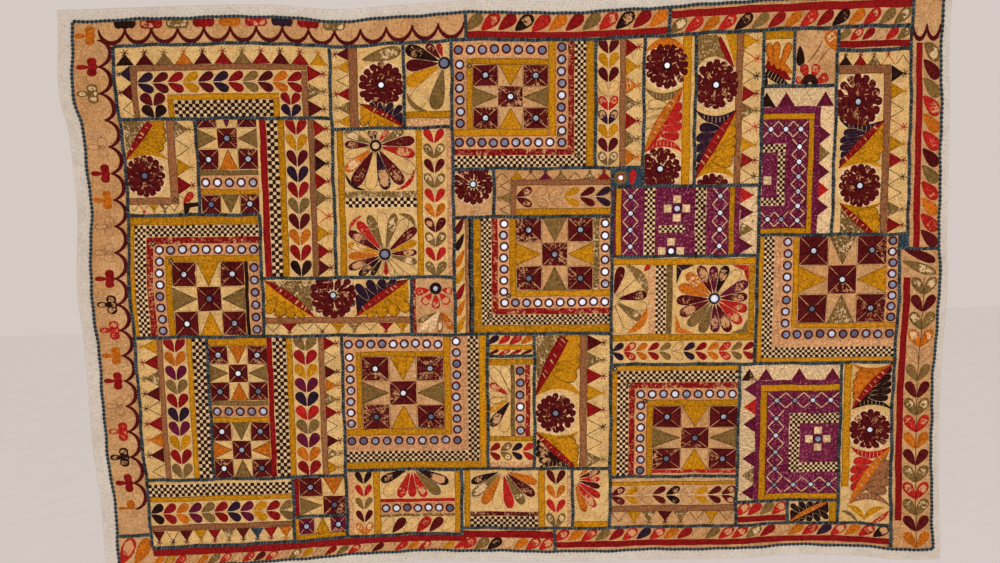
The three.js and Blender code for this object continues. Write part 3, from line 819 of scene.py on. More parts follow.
def thread_finish(name, shade, ground, contrast):
    """Satin stitch: fine threads side by side, streaked with random tone and with painted glints, and worn
    through to the cloth in places.
    """
    finish = Finish(name)
    run = finish.stitch_map()
    place = finish.place()
    _, across, _ = finish.parts(run)
    streak = finish.noise(finish.stretched(run, (0.07, 0.4, 1)), 1, 4)
    fibre = finish.noise(finish.stretched(run, (0.12, 1.3, 1)), 1, 2)
    blotch = finish.noise(place, 95, 4)
    crumbs = finish.noise(place, 300, 3)
    wear = finish.attribute("wear")
    tone = finish.attribute("tone")
    # glint is a painted highlight: a lighter copy of the thread's colour with a little white added
    glint = tuple(min(1, 1.2 * part + added) for part, added in zip(shade, (0.025, 0.008, 0.006)))
    worn = ((streak * 0.25 + blotch * 0.4 + crumbs * 0.4 + wear * 0.42 - 0.84) * 10).clamped()
    # Each stitch ranges from a darker copy of its thread to the painted glint, by random streaks, crumbs and
    # the tone of each length: real streaky thread with painted sheen on it
    streaks = (streak - 0.5) * 2 * contrast + (fibre - 0.5) * 1.4 * contrast
    light = (streaks + (crumbs - 0.5) * 3 + tone * 0.34 + 0.34).clamped()
    colour = finish.mix(light, toned(shade, 0.5), glint)
    colour = finish.mix(blotch.above(0.45, 3) * 0.4 * contrast, colour, toned(shade, 0.35))
    bare = finish.mix(fibre, toned(ground, 0.8), toned(ground, 1.1))
    colour = finish.mix(worn * 0.92, colour, bare)
    ridges = (across * 6.6).math("SINE") * 0.4 + streak + fibre
    return finish.dress(
        Base_Color=colour, Roughness=streak * 0.25 + 0.55, Normal=finish.bump(ridges, 0.55, 0.0006),
        Specular_IOR_Level=0.05)


def couching_finish(name, shade):
    """Thick twisted thread, some lengths faded and some dark."""
    finish = Finish(name)
    run = finish.stitch_map()
    along, across, _ = finish.parts(run)
    tone = finish.attribute("tone")
    fibre = finish.noise(finish.stretched(run, (0.4, 1.6, 1)), 1, 3)
    light = (tone * 0.9 + fibre * 0.5 - 0.25).clamped()
    colour = finish.mix(light, toned(shade, 0.3), toned(shade, 2.1))
    twist = (across * 3.4 + along * 2.2).math("SINE") * 0.5 + fibre
    return finish.dress(
        Base_Color=colour, Roughness=fibre * 0.2 + 0.65, Normal=finish.bump(twist, 0.6, 0.0005),
        Specular_IOR_Level=0.1)


def mirror_finish(name, painted_reflection, aged):
    """Old blown-glass mirror: a painted reflection where the glass is bright, darker where it is dim, with
    painted shade towards its rim, and spots and smudges.
    """
    finish = Finish(name)
    place = finish.place()
    x, y, _ = finish.parts(finish.stitch_map())
    dimness = finish.attribute("tone")
    spots = finish.noise(place, 420, 3).above(0.58, 7)
    smudge = ((finish.noise(place, 150, 2) + dimness * 0.5 - 0.72) * 5).clamped()
    # Painted shade towards the rim of the glass, under its sewn ring, which leaves the middle lighter
    rim = ((x * x + y * y) * 0.03 - 0.25).clamped()
    # Mixes the painted reflection with the colour of aged glass by how dim each glass is
    colour = finish.mix((dimness * 1.5 - 0.25).clamped(), painted_reflection, aged)
    colour = finish.mix(smudge * 0.6, colour, toned(aged, 0.5))
    colour = finish.mix(rim * 0.6, colour, toned(aged, 0.7))
    colour = finish.mix(spots * 0.6, colour, (0.08, 0.07, 0.07))
    ripple = finish.noise(place, 90, 1)
    return finish.dress(
        Base_Color=colour, Roughness=spots * 0.3 + 0.32, Normal=finish.bump(ripple, 0.25, 0.0006),
        Metallic=0.4)


def floor_finish(shade):
    """Matt pale floor."""
    finish = Finish("pale_floor")
    grain = finish.noise(finish.place(), 14, 3)
    colour = finish.mix(grain * 0.5, shade, toned(shade, 0.9))
    return finish.dress(Base_Color=colour, Roughness=0.85)


def write_map(mesh, name, places):
    """A flat map of the mesh, from one place for each point."""
    corner = np.empty(len(mesh.loops), np.int32)
    mesh.loops.foreach_get("vertex_index", corner)
    layer = mesh.uv_layers.new(name=name)
    layer.data.foreach_set("uv", np.asarray(places, np.float32)[corner].ravel())


def make_piece(name, points, faces, material, slot, bake):
    """A smooth-shaded mesh on the frame, with the flat map that its finish is baked on."""
    mesh = bpy.data.meshes.new(name)
    mesh.from_pydata(points, [], faces)
    mesh.update()
    mesh.shade_smooth()
    mesh.materials.append(material)
    write_map(mesh, "OFBake", bake)
    piece = bpy.data.objects.new(name, mesh)
    bpy.context.collection.objects.link(piece)
    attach(piece, "root")
    return piece


class Sewing:
    """Raised pads gathered on the plan, laid on the cloth together as one mesh."""

    def __init__(self, base=PATCH_FRONT):
        self.base = base
        self.pads = []
        self.faces = []
        self.count = 0

    def add(self, plan, lift, run, faces, wear, tone):
        """Takes in one pad: its points, their heights and places by thread, its faces, wear and tone."""
        size = len(plan)
        self.pads.append((plan, lift, run, np.broadcast_to(wear, size), np.full(size, tone)))
        self.faces.extend((np.asarray(face) + self.count).tolist() for face in faces)
        self.count += size

    def build(self, name, material, slot):
        """Lays all the pads on the hanging as one piece."""
        plan, lift, run, wear, tone = (np.concatenate(column) for column in zip(*self.pads))
        bake = (plan * (1, -1) + (0, FACE_HEIGHT) + BAKE_MARGIN) / (FACE_WIDTH + 2 * BAKE_MARGIN)
        mesh = make_piece(name, hang(plan, self.base + lift), self.faces, material, slot, bake).data
        write_map(mesh, "Stitch", run)
        for label, values in (("wear", wear), ("tone", tone)):
            spread = mesh.attributes.new(label, "FLOAT", "POINT")
            spread.data.foreach_set("value", values.astype(np.float32))


def heading(turn):
    """A unit step in one direction."""
    return np.array((math.cos(turn), math.sin(turn)))


def square_to(way):
    """A step of the same length at right angles to another."""
    return np.array((-way[1], way[0]))


def circle(count):
    """Points of a circle of radius 1."""
    angles = np.linspace(0, 2 * math.pi, count, endpoint=False)
    return np.stack((np.cos(angles), np.sin(angles)), axis=-1)


def turned(points, centre, turn):
    """Distances along and across the threads of a pad."""
    away = points - centre
    cos, sin = math.cos(turn), math.sin(turn)
    return np.stack((away[:, 0] * cos + away[:, 1] * sin, away[:, 1] * cos - away[:, 0] * sin), axis=-1)


def twice_area(outline):
    """Twice the area inside an outline, less than 0 if it runs the other way round."""
    u, v = outline.T
    return float(np.sum(u * np.roll(v, -1) - np.roll(u, -1) * v))


def ring_faces(size, rings):
    """Quads between rings of points and a fan to the point after the last ring."""
    faces = []
    for ring in range(rings - 1):
        for i in range(size):
            j = (i + 1) % size
            low, high = ring * size, (ring + 1) * size
            faces.append((low + i, low + j, high + j, high + i))
    last = (rings - 1) * size
    faces.extend((last + i, last + (i + 1) % size, rings * size) for i in range(size))
    return faces


def sew_pad(sewing, outline, height, turn, wear, tone, sink=SINK, fray=None):
    """A pillow of stitches inside an outline. Its middle is more worn where it is frayed."""
    if twice_area(outline) > 0:
        outline = outline[::-1]
    centre = outline.mean(axis=0)
    away = outline - centre
    reach = np.linalg.norm(away, axis=1, keepdims=True)
    shoulder = centre + away * (1 - np.minimum(0.45, SHOULDER / np.maximum(reach, 0.1)))
    rings = [(outline, -sink, 0), (shoulder, 0.8 * height, 0.3)]
    if reach.max() > WIDE_PAD:
        rings.append((centre + away * 0.6, height, 1))
    size = len(outline)
    plan = np.concatenate([ring for ring, _, _ in rings] + [centre[None]])
    lift = np.concatenate([np.full(size, level) for _, level, _ in rings] + [[height]])
    worn = np.full(len(plan), float(wear))
    if fray:
        worn += fray(plan) * np.concatenate([np.full(size, share) for _, _, share in rings] + [[1]])
    sewing.add(plan, lift, turned(plan, centre, turn), ring_faces(size, len(rings)), worn, tone)


def blunt_ends(points, halves):
    """The line with a point added close to each end, so that it keeps its height almost to the end."""
    ends, inner = [0, -1], [1, -2]
    steps = points[inner] - points[ends]
    shares = np.minimum(0.3, 0.6 / np.maximum(np.linalg.norm(steps, axis=1, keepdims=True), 1e-6))
    near = points[ends] + steps * shares
    near_halves = halves[ends] + (halves[inner] - halves[ends]) * shares
    points = np.concatenate((points[:1], near[:1], points[1:-1], near[1:], points[-1:]))
    return points, np.concatenate((halves[:1], near_halves[:1], halves[1:-1], near_halves[1:], halves[-1:]))


def sew_line(sewing, points, half, height, wear, tone, closed=False, sink=SINK):
    """A band or cord of stitches along a line."""
    points = np.asarray(points, float)
    halves = np.broadcast_to(np.asarray(half, float), len(points))[:, None]
    if closed:
        way = np.roll(points, -1, axis=0) - np.roll(points, 1, axis=0)
    else:
        points, halves = blunt_ends(points, halves)
        way = np.gradient(points, axis=0)
    way /= np.maximum(np.linalg.norm(way, axis=1, keepdims=True), 1e-9)
    side = np.stack((-way[:, 1], way[:, 0]), axis=-1)
    travelled = np.concatenate(([0], np.cumsum(np.linalg.norm(np.diff(points, axis=0), axis=1))))
    if halves.max() > FLAT_TOP:
        inner = 1 - SHOULDER / halves.max()
        columns = ((-1, -sink), (-inner, 0.85 * height), (0, height), (inner, 0.85 * height), (1, -sink))
    else:
        columns = ((-1, -sink), (0, height), (1, -sink))
    plan = np.stack([points + side * halves * share for share, _ in columns], axis=1)
    lift = np.tile([level for _, level in columns], (len(points), 1)).astype(float)
    run = np.stack([np.stack((halves[:, 0] * share, travelled), axis=-1) for share, _ in columns], axis=1)
    if not closed:
        lift[[0, -1]] = -sink
    size, wide = len(points), len(columns)
    rows = size if closed else size - 1
    faces = []
    for i in range(rows):
        here, there = i * wide, (i + 1) % size * wide
        faces.extend((here + j, here + j + 1, there + j + 1, there + j) for j in range(wide - 1))
    sewing.add(plan.reshape(-1, 2), lift.ravel(), run.reshape(-1, 2), faces, wear, tone)


def drop_outline(start, end, width, steps=9, blunt=2.4):
    """A petal: pointed at its start, round at its end, and more like a wedge the blunter it is."""
    start, end = np.asarray(start, float), np.asarray(end, float)
    axis = end - start
    side = square_to(axis) / max(np.linalg.norm(axis), 1e-6)
    t = (1 - np.cos(np.linspace(0, math.pi, steps))) / 2
    swell = t**0.75 * np.sqrt(np.maximum(0, 1 - t**blunt))
    swell *= width / 2 / swell.max()
    there = start + axis * t[:, None] + side * swell[:, None]
    back = start + axis * t[1:-1, None] - side * swell[1:-1, None]
    return np.concatenate((there, back[::-1]))


def clipped(outline, box):
    """The part of an outline that lies inside a box."""
    left, top, right, bottom = box
    for axis, limit, sign in ((0, left, 1), (0, right, -1), (1, top, 1), (1, bottom, -1)):
        kept = []
        for here, after in zip(outline, np.roll(outline, -1, axis=0)):
            inside, next_inside = (sign * (point[axis] - limit) >= 0 for point in (here, after))
            if inside:
                kept.append(here)
            if inside != next_inside:
                share = (limit - here[axis]) / (after[axis] - here[axis])
                kept.append(here + (after - here) * share)
        if len(kept) < 3:
            return None
        outline = np.array(kept)
    return outline


def strip_axes(box, side):
    """Length and breadth of a strip, and its points by distance along it and out from its inner side."""
    left, top, right, bottom = box
    places = {
        "T": lambda along, out: (left + along, bottom - out),
        "B": lambda along, out: (left + along, top + out),
        "L": lambda along, out: (right - out, top + along),
        "R": lambda along, out: (left + out, top + along),
    }
    wide, tall = right - left, bottom - top
    run, breadth = (wide, tall) if side in "TB" else (tall, wide)

    def spot(along, out):
        pair = places[side](np.asarray(along, float), np.asarray(out, float))
        return np.stack(np.broadcast_arrays(*pair), axis=-1)

    return run, breadth, spot


def tooth(spot, middle, half, tip):
    """Corners of a triangle that stands on a strip's inner side."""
    return [spot(middle - half, 0), spot(middle, tip), spot(middle + half, 0)]


class Embroidery:
    """All the motifs of the hanging, gathered thread by thread."""

    def __init__(self, sizes):
        self.height = sizes.pad_height / MM
        self.glass_radius = sizes.mirror_radius / MM
        self.check = sizes.check_size / MM
        self.threads = {code: Sewing() for code in THREADS}
        self.glass = Sewing()
        self.open((0, 0, FACE_WIDTH, FACE_HEIGHT))

    def thread(self, code):
        """The sewing of one thread, how worn it is and how light this length of it is."""
        wear = BADLY_WORN if code.isupper() else LIGHTLY_WORN
        return self.threads[code.lower()], wear, dice.uniform()

    def pad(self, outline, code, turn=0.0, share=1.0, fray=None):
        """Satin stitch inside an outline, as far as the patch goes."""
        outline = clipped(np.asarray(outline, float), self.box)
        if outline is None or abs(twice_area(outline)) < 2 * SMALLEST_PAD:
            return
        sewing, wear, tone = self.thread(code)
        sew_pad(sewing, outline, self.height * share, turn, wear, tone, fray=fray)

    def line(self, points, half, code, share=0.8, closed=False):
        """A line of stitches through points, as far as the patch goes."""
        low, high = np.reshape(self.box, (2, 2))
        points = np.asarray(points, float)
        half = np.broadcast_to(half, len(points))
        inside = ((points >= low) & (points <= high)).all(axis=1)
        if not inside.all():
            points, half = points[inside], half[inside]
            closed = False
        if len(points) < 2:
            return
        sewing, wear, tone = self.thread(code)
        sew_line(sewing, points, half, self.height * share, wear, tone, closed)

    def stroke(self, start, end, half, code, share=1.0):
        """A straight line of stitches."""
        start, end = np.asarray(start), np.asarray(end)
        along = np.linspace(0, 1, int(math.dist(start, end) / LINE_STEP) + 2)[:, None]
        self.line(start + (end - start) * along, half, code, share)

    def petal(self, start, end, width, code, rim=None, blunt=2.4, share=1.0):
        """A petal or leaf. A badly worn one has lost stitches at its round end, a bare one all of them."""
        start, end = np.asarray(start, float), np.asarray(end, float)
        axis = end - start
        shape = drop_outline(start, end, width, blunt=blunt)
        loss = dice.uniform(0.4, 0.8) if code.isupper() else 0.1

        def fray(points):
            return loss * smoothstep((points - start) @ axis / (axis @ axis), 0.3, 0.6)

        if code in "HW":
            self.line(shape, BARE_LINE, "b" if code == "H" else "d", 1.0, closed=True)
            return
        self.pad(shape, code.lower(), math.atan2(axis[1], axis[0]) + math.pi / 2, share, fray)
        if rim:
            self.line(shape, RIM_LINE, rim, 0.1 + share, closed=True)
        elif code.isupper():
            self.line(shape, RIM_LINE, code.lower(), 1.1, closed=True)

    def crescent(self, start, end, bulge, thick, code, stripe=None, share=1.0):
        """A curved leaf, pointed at both ends, plain or with stripes across it."""
        start, end = np.asarray(start, float), np.asarray(end, float)
        t = np.linspace(0, 1, 11)
        way = end - start
        side = square_to(way) / np.linalg.norm(way)
        hump = 4 * t * (1 - t)
        spine = start + way * t[:, None] + side * bulge * hump[:, None]
        self.line(spine, LOOSE_LINE + thick / 2 * hump, code, share)
        if stripe:
            for point, swell in zip(spine[2:-2], hump[2:-2]):
                reach = side * 0.4 * thick * swell
                self.stroke(point - reach, point + reach, STEM_LINE, stripe, 1.8)

    def disc(self, centre, radius, code, share=1.0, points=20):
        """A round of satin stitch."""
        self.pad(np.asarray(centre) + radius * circle(points), code, dice.uniform(0, math.pi), share)

    def mirror(self, centre, radius, ring, wide=1.6, bright=0.6):
        """A mirror in its sewn ring. With a capital ring the glass is lost and the cloth shows."""
        centre = np.asarray(centre, float)
        low, high = np.reshape(self.box, (2, 2))
        reach = radius + GLASS_ROOM
        if not ((low + reach < centre) & (centre < high - reach)).all():
            return
        way = circle(MIRROR_SIDES)
        sewing, _, tone = self.thread(ring)
        sew_line(
            sewing, centre + way * (radius + wide - 0.3), wide, RING_HEIGHT, 0.1, 0.35 * tone, closed=True)
        if ring.isupper():
            self.disc(centre, radius, "w", 0.7)
            return
        tilt = dice.normal(0, GLASS_TILT, 2)
        rim = way * (radius + GLASS_TUCK)
        plan = np.concatenate((centre + rim, [centre]))
        lift = np.concatenate((GLASS_RIM + rim @ tilt, [GLASS_CROWN]))
        faces = [((i + 1) % MIRROR_SIDES, i, MIRROR_SIDES) for i in range(MIRROR_SIDES)]
        # How dim the glass is, so how little of its painted reflection shows
        dimness = np.clip(1 - bright + dice.normal(0, DIMNESS_SCATTER), 0, 1)
        self.glass.add(plan, lift, plan - centre, faces, 0, dimness)

    def band(self, box, side, code, share=0.7):
        """A band along a strip, swaying a little. Wide mustard, brown and orange ones have dark edges."""
        run, breadth, spot = strip_axes(box, side)
        along = np.linspace(0, run, max(3, int(run / LINE_STEP)))
        sway = 0.4 * np.sin(along / 17 + dice.uniform(0, 6)) + 0.3 * np.sin(along / 7.3 + dice.uniform(0, 6))
        half = (breadth / 2 + 0.1) * (1 + 0.04 * np.sin(along / 23 + dice.uniform(0, 6)))
        self.line(spot(along, breadth / 2 + sway), half, code, share)
        if code in "ybo" and breadth > 6:
            for sign in (-1, 1):
                self.line(spot(along, breadth / 2 + sway + sign * (half - 0.5)), EDGE_LINE, "d", 0.9)

    def gap(self, box, side):
        """Bare cloth."""

    def checker(self, box, side, rows=0):
        """Dark checks on pale stitches."""
        run, breadth, spot = strip_axes(box, side)
        rows = rows or max(2, round(breadth / self.check))
        columns = max(2, round(run * rows / breadth))
        self.band(box, side, "w", UNDERLAY)
        along = np.linspace(CHECK_INSET, run - CHECK_INSET, columns + 1)
        out = np.linspace(CHECK_INSET, breadth - CHECK_INSET, rows + 1)
        grid = spot(along[:, None], out[None, :]) + dice.normal(0, CHECK_SCATTER, (columns + 1, rows + 1, 2))
        for i in range(columns):
            for j in range((i + 1) % 2, rows, 2):
                corners = np.array((grid[i, j], grid[i + 1, j], grid[i + 1, j + 1], grid[i, j + 1]))
                middle = corners.mean(axis=0)
                self.pad(middle + (corners - middle) * CHECK_SWELL, "k", math.pi / 2 * (i % 2), 0.95)

    def mirrors(self, box, side, shine=(0.5, 0.5)):
        """A row of mirrors, as bright as said at the row's start and end: how much of their painted
        reflection shows.
        """
        run, breadth, spot = strip_axes(box, side)
        self.band(box, side, "h", 0.3)
        radius = min(self.glass_radius, breadth / 2 - RING_ROOM)
        count = max(1, round(run / (2 * radius + RING_GAP)))
        for k, bright in enumerate(np.linspace(*shine, count)):
            centre = spot((k + 0.5) * run / count, breadth / 2 + dice.normal(0, 0.5))
            self.mirror(centre, radius, "m", wide=2.0, bright=bright)

    def vine(self, box, side, colours, fullness=0.82, stem="w"):
        """Pairs of leaves up a stem. Full leaves fill the strip, and their pale rims keep them apart."""
        run, breadth, spot = strip_axes(box, side)
        way = 1 if side in "TB" else -1
        pitch = run / len(colours)
        reach = min((0.5 + 0.55 * fullness) * pitch, 0.75 * breadth)
        middle = breadth / 2
        for k, code in enumerate(colours):
            foot = (k + (0.02 if way > 0 else 0.98)) * pitch
            for sign in (-1, 1):
                start = spot(foot, middle + sign * 0.9)
                end = spot(foot + way * reach, middle + sign * 0.37 * breadth)
                self.petal(start, end, 0.4 * fullness * breadth, code, "w" if fullness > 0.9 else None)
        along = np.linspace(1, run - 1, max(3, int(run / STEM_STEP)))
        self.line(spot(along, middle + 0.5 * np.sin(along / 9)), STEM_LINE, stem, 1.2)

    def triangles(self, box, side, colours):
        """Triangles with a small sewn star at each tip. Worn ones are only lines."""
        run, breadth, spot = strip_axes(box, side)
        pitch = run / len(colours)
        tip = 0.68 * breadth
        arm = min(0.24 * breadth, 7)
        for k, code in enumerate(colours):
            middle = (k + 0.5) * pitch + dice.normal(0, 0.6)
            corners = tooth(spot, middle, 0.47 * pitch, tip)
            lost = code in "wRKM"
            if not lost:
                self.pad(corners, code, 0 if side in "TB" else math.pi / 2)
            if code != "w":
                star = spot(middle, tip + 0.3 * arm)
                for turn in (0.2, 1.25, 2.3):
                    reach = arm * heading(turn)
                    self.stroke(star - reach, star + reach, SPARK_LINE, code.lower())
            edge = code.lower() if lost and code != "w" else "d"
            for foot in corners[::2]:
                self.stroke(foot, corners[1], STEM_LINE if lost else EDGE_LINE, edge, 0.8)

    def leaves(self, box, side, colours):
        """Slanting leaves along a strip."""
        run, breadth, spot = strip_axes(box, side)
        pitch = run / len(colours)
        width = min(0.72 * breadth, 0.8 * pitch)
        for k, code in enumerate(colours):
            start = spot((k - 0.12) * pitch, 0.04 * breadth)
            self.petal(start, spot((k + 0.94) * pitch, 0.93 * breadth), width, code)

    def sawtooth(self, box, side, colours, lead=0.0):
        """Triangles that point out over pale cloth. The first may be cut short by part of the pitch."""
        run, breadth, spot = strip_axes(box, side)
        self.band(box, side, "w", UNDERLAY)
        pitch = run / (len(colours) - lead)
        for k, code in enumerate(colours):
            corners = tooth(spot, (k + 0.5 - lead) * pitch, 0.48 * pitch, 0.78 * breadth)
            if code in "wG":
                self.stroke(corners[0], corners[1], SAW_LINE, "d", 0.8)
                self.stroke(corners[1], corners[2], SAW_LINE, "d", 0.8)
            if code != "w":
                self.pad(corners, code, 0 if side in "TB" else math.pi / 2, 0.9)

    def diamonds(self, box, side):
        """A row of outlined diamonds with a mirror wherever their lines cross."""
        run, breadth, spot = strip_axes(box, side)
        count = max(1, round(run / (0.9 * breadth)))
        reach, middle = 0.42 * breadth, breadth / 2
        along = np.linspace(1, run - 1, 2 * count + 1)
        for sign in (-1, 1):
            corners = spot(along, middle + sign * reach * (np.arange(2 * count + 1) % 2 == 0))
            for here, after in zip(corners[:-1], corners[1:]):
                self.stroke(here, after, DIAMOND_LINE, "w", 1.5)
        for at in along[1::2]:
            self.mirror(spot(at, middle), GLASS["diamond"], "n", wide=1.5)

    def star(self, box, side, colours, square="m", pattern="SvS/>S</S^S", rise=0):
        """Squares and points in a grid. A star may rise past the seam that cut its top row."""
        left, top, right, bottom = box
        top -= rise
        rows = pattern.split("/")
        wide, tall = (right - left) / len(rows[0]), (bottom - top) / len(rows)
        shades = iter(colours)
        for j, row in enumerate(rows):
            for i, kind in enumerate(row):
                cell = (left + i * wide, top + j * tall, left + (i + 1) * wide, top + (j + 1) * tall)
                if kind == "S":
                    self.star_square(cell, square)
                else:
                    self.star_point(cell, kind, next(shades))

    def star_square(self, cell, code):
        """A square of four triangles with a cross and a mirror. A worn one has lost some triangles."""
        left, top, right, bottom = cell
        corners = np.array(((left, top), (right, top), (right, bottom), (left, bottom)), float)
        corners += dice.normal(0, 0.4, (4, 2))
        middle = corners.mean(axis=0)
        corners = middle + (corners - middle) * 0.97
        for quarter, (first, second) in enumerate(zip(corners, np.roll(corners, -1, axis=0))):
            good = dice.uniform() < (GOOD_IN_WORN_STAR if code.isupper() else GOOD_IN_SOUND_STAR)
            shade = code.lower() if good else code.upper()
            self.pad(np.array((first, second, middle)), shade, math.pi / 2 * (quarter % 2 + 1))
        for arm in corners - middle:
            self.stroke(middle + arm * 0.3, middle + arm * 0.97, CROSS_LINE, "h", 1.6)
        self.mirror(middle, GLASS["square"], "k", wide=1.9, bright=0.42)

    def star_point(self, cell, kind, code):
        """A point of a star, and fine lines from its feet to the far corners of its cell."""
        left, top, right, bottom = cell
        corners = {"nw": (left, top), "ne": (right, top), "se": (right, bottom), "sw": (left, bottom)}
        mid_u, mid_v = (left + right) / 2, (top + bottom) / 2
        feet = {"v": ("nw", "ne"), "^": ("sw", "se"), ">": ("nw", "sw"), "<": ("ne", "se")}[kind]
        tip = {
            "v": (mid_u, bottom - 1), "^": (mid_u, top + 1), ">": (right - 1, mid_v), "<": (left + 1, mid_v),
        }[kind]
        first, second = (np.array(corners[foot], float) for foot in feet)
        middle = (first + second) / 2
        first, second = middle + (first - middle) * 0.92, middle + (second - middle) * 0.92
        self.pad(np.array((first, tip, second)), code, 0 if kind in "<>" else math.pi / 2)
        self.stroke(first, tip, RIM_LINE, "d")
        self.stroke(second, tip, RIM_LINE, "d")
        far = [np.array(spot, float) for name, spot in corners.items() if name not in feet]
        for foot, end in zip((first, second), far if kind != "v" else far[::-1]):
            self.stroke(foot, end, LOOSE_LINE, "d", 0.6)

    def daisy(self, centre, radius, colours, start, end, ring, box=None):
        """Petals from one angle to another about a mirror, each as long as its box lets it be."""
        left, top, right, bottom = box or self.box
        centre = np.asarray(centre, float)
        step = (end - start) / len(colours)
        for k, code in enumerate(colours):
            way = heading(math.radians(start + (k + 0.5) * step))
            room = [radius]
            for axis, low, high in ((0, left, right), (1, top, bottom)):
                if abs(way[axis]) > 1e-6:
                    edge = high if way[axis] > 0 else low
                    room.append((edge - centre[axis]) / way[axis] - 1.5)
            reach = min(room)
            if reach > SHORTEST_PETAL:
                width = min(1.45 * reach * math.tan(math.radians(abs(step)) / 2), 0.45 * reach)
                self.petal(centre + way * DAISY_HEART, centre + way * reach, width, code, "w", blunt=5)
        if ring:
            self.mirror(centre, GLASS["daisy"], ring, wide=2.2)

    def marigold(self, centre, radius):
        """A round flower head of two rings of lobes, with a few pale stitches and a mirror, on pale cloth."""
        centre = np.asarray(centre, float)
        self.disc(centre, 1.16 * radius, "w", 0.3, 28)
        self.disc(centre, 0.96 * radius, "m", 0.5, 24)
        for lobes, near, far, width, height in ((16, 0.62, 1.09, 0.36, 1.0), (11, 0.2, 0.74, 0.32, 1.5)):
            for k in range(lobes):
                turn = 2 * math.pi * (k + dice.uniform(-0.12, 0.12)) / lobes
                way = radius * heading(turn)
                reach = far + dice.uniform(-0.03, 0.03)
                outline = drop_outline(centre + way * near, centre + way * reach, width * radius)
                self.pad(outline, "m" if dice.uniform() < GOOD_LOBES else "M", turn + math.pi / 2, height)
        for k in range(MARIGOLD_FLECKS):
            turn = 2 * math.pi * (k + dice.uniform(-0.3, 0.3)) / MARIGOLD_FLECKS
            near = centre + radius * dice.uniform(0.36, 0.92) * heading(turn)
            turn += dice.normal(0, 0.8)
            reach = radius * dice.uniform(0.05, 0.13) * heading(turn)
            self.stroke(near - reach, near + reach, dice.uniform(0.8, 1.5), "h", 2.2)
        self.mirror(centre, GLASS["marigold"], "k", wide=1.8)

    def wing(self, box, flips, dark, feathers="y", leaf="c"):
        """A diagonal leaf with pale flecks and a feather on each side of it."""
        left, top, right, bottom = box
        wide, tall = right - left, bottom - top
        bend = -1 if len(flips) == 1 else 1

        def at(x, y):
            x = 1 - x if "x" in flips else x
            y = 1 - y if "y" in flips else y
            return np.array((left + x * wide, top + y * tall))

        def opposite(x, y):
            return at(1 - x, 1 - y)

        fingers = "upright" if tall > 0.85 * wide else "hanging"
        self.feather(at, bend, fingers, feathers)
        self.feather(opposite, bend, fingers, dark)
        size = math.hypot(wide, tall)
        self.crescent(at(0, 1), at(1, 0), -bend * 0.03 * size, 0.12 * size, leaf, share=2.2)
        for share in np.linspace(0.2, 0.78, WING_FLECKS) + dice.normal(0, 0.02, WING_FLECKS):
            middle = at(share - 0.03, 0.97 - share)
            reach = dice.normal(0, 1, 2) + 0.022 * size * np.array((bend, 1))
            self.stroke(middle - reach, middle + reach, dice.uniform(1.0, 2.2), "h", 3.0)

    def feather(self, at, bend, fingers, code):
        """One side of a wing: finger lobes and a collar, solid or outlined, or one stippled field."""
        size = math.dist(at(0, 1), at(1, 0))
        if code == "G":
            self.pad([at(0.08, 0.97), at(0.5, 0.55), at(0.97, 0.08), at(0.98, 0.98)], "G", 1.0)
            return
        if code in "yonk":
            self.pad([at(*spot) for spot in FEATHER_BODY[fingers]], code, 0.5)
        else:
            self.crescent(at(0.04, 0.98), at(0.98, 0.04), bend * 0.05 * size, 0.06 * size, code)
        width = 0.17 if code in "yo" else 0.14
        rim = "w" if code in "nkrc" else "d"
        for root, tip in FEATHER_FINGERS[fingers]:
            self.petal(at(*root), at(*tip), width * size, "W" if code == "g" else code, rim, share=1.5)
        if fingers == "upright":
            stripe = None if code in "yo" else "w"
            self.crescent(at(0.02, 1), at(1, 1), -bend * 0.12 * size, 0.1 * size, code, stripe)

    def cross(self, centre, size, code):
        """Four squares about a mirror."""
        centre = np.asarray(centre, float)
        for k in range(4):
            turn = k * math.pi / 2
            way = heading(turn)
            side = square_to(way) * 0.3 * size
            near, far = centre + way * 0.4 * size, centre + way * 0.98 * size
            self.pad(np.array((near + side, far + side, far - side, near - side)), code, turn)
        self.mirror(centre, GLASS["cross"], "n")

    def stop(self, centre, size):
        """A dark square with a pale cross where two bands meet."""
        corners = np.array(SQUARE) * size / 2
        self.pad(centre + corners, "k", 0, 1.1)
        for corner in corners[:2]:
            self.stroke(centre - 0.8 * corner, centre + 0.8 * corner, STOP_LINE, "w", 1.9)

    def spandrel(self, corner, reach, code):
        """A corner piece that follows the round of a flower."""
        corner, reach = np.asarray(corner, float), np.asarray(reach, float)
        elbow = corner + 0.3 * reach
        self.pad(np.array((corner, corner + reach * (1, 0), elbow)), code, 0)
        self.pad(np.array((corner, elbow, corner + reach * (0, 1))), code, math.pi / 2)

    def bud(self, centre, way, size, code):
        """A bud with two side lobes and one towards the scallops, on a stalk from the outer edge."""
        centre = np.asarray(centre, float)
        way = np.asarray(way, float)
        self.petal(centre + way * 0.1 * size, centre - way * 1.7 * size, 0.6 * size, code, blunt=4)
        for sign in (-1, 1):
            side = square_to(way) * sign
            self.petal(centre - side * 0.3 * size, centre + side * 1.08 * size, 1.1 * size, code)
        if code not in "HW":
            self.petal(centre - way * 0.5 * size, centre + way * 0.62 * size, 0.8 * size, code)

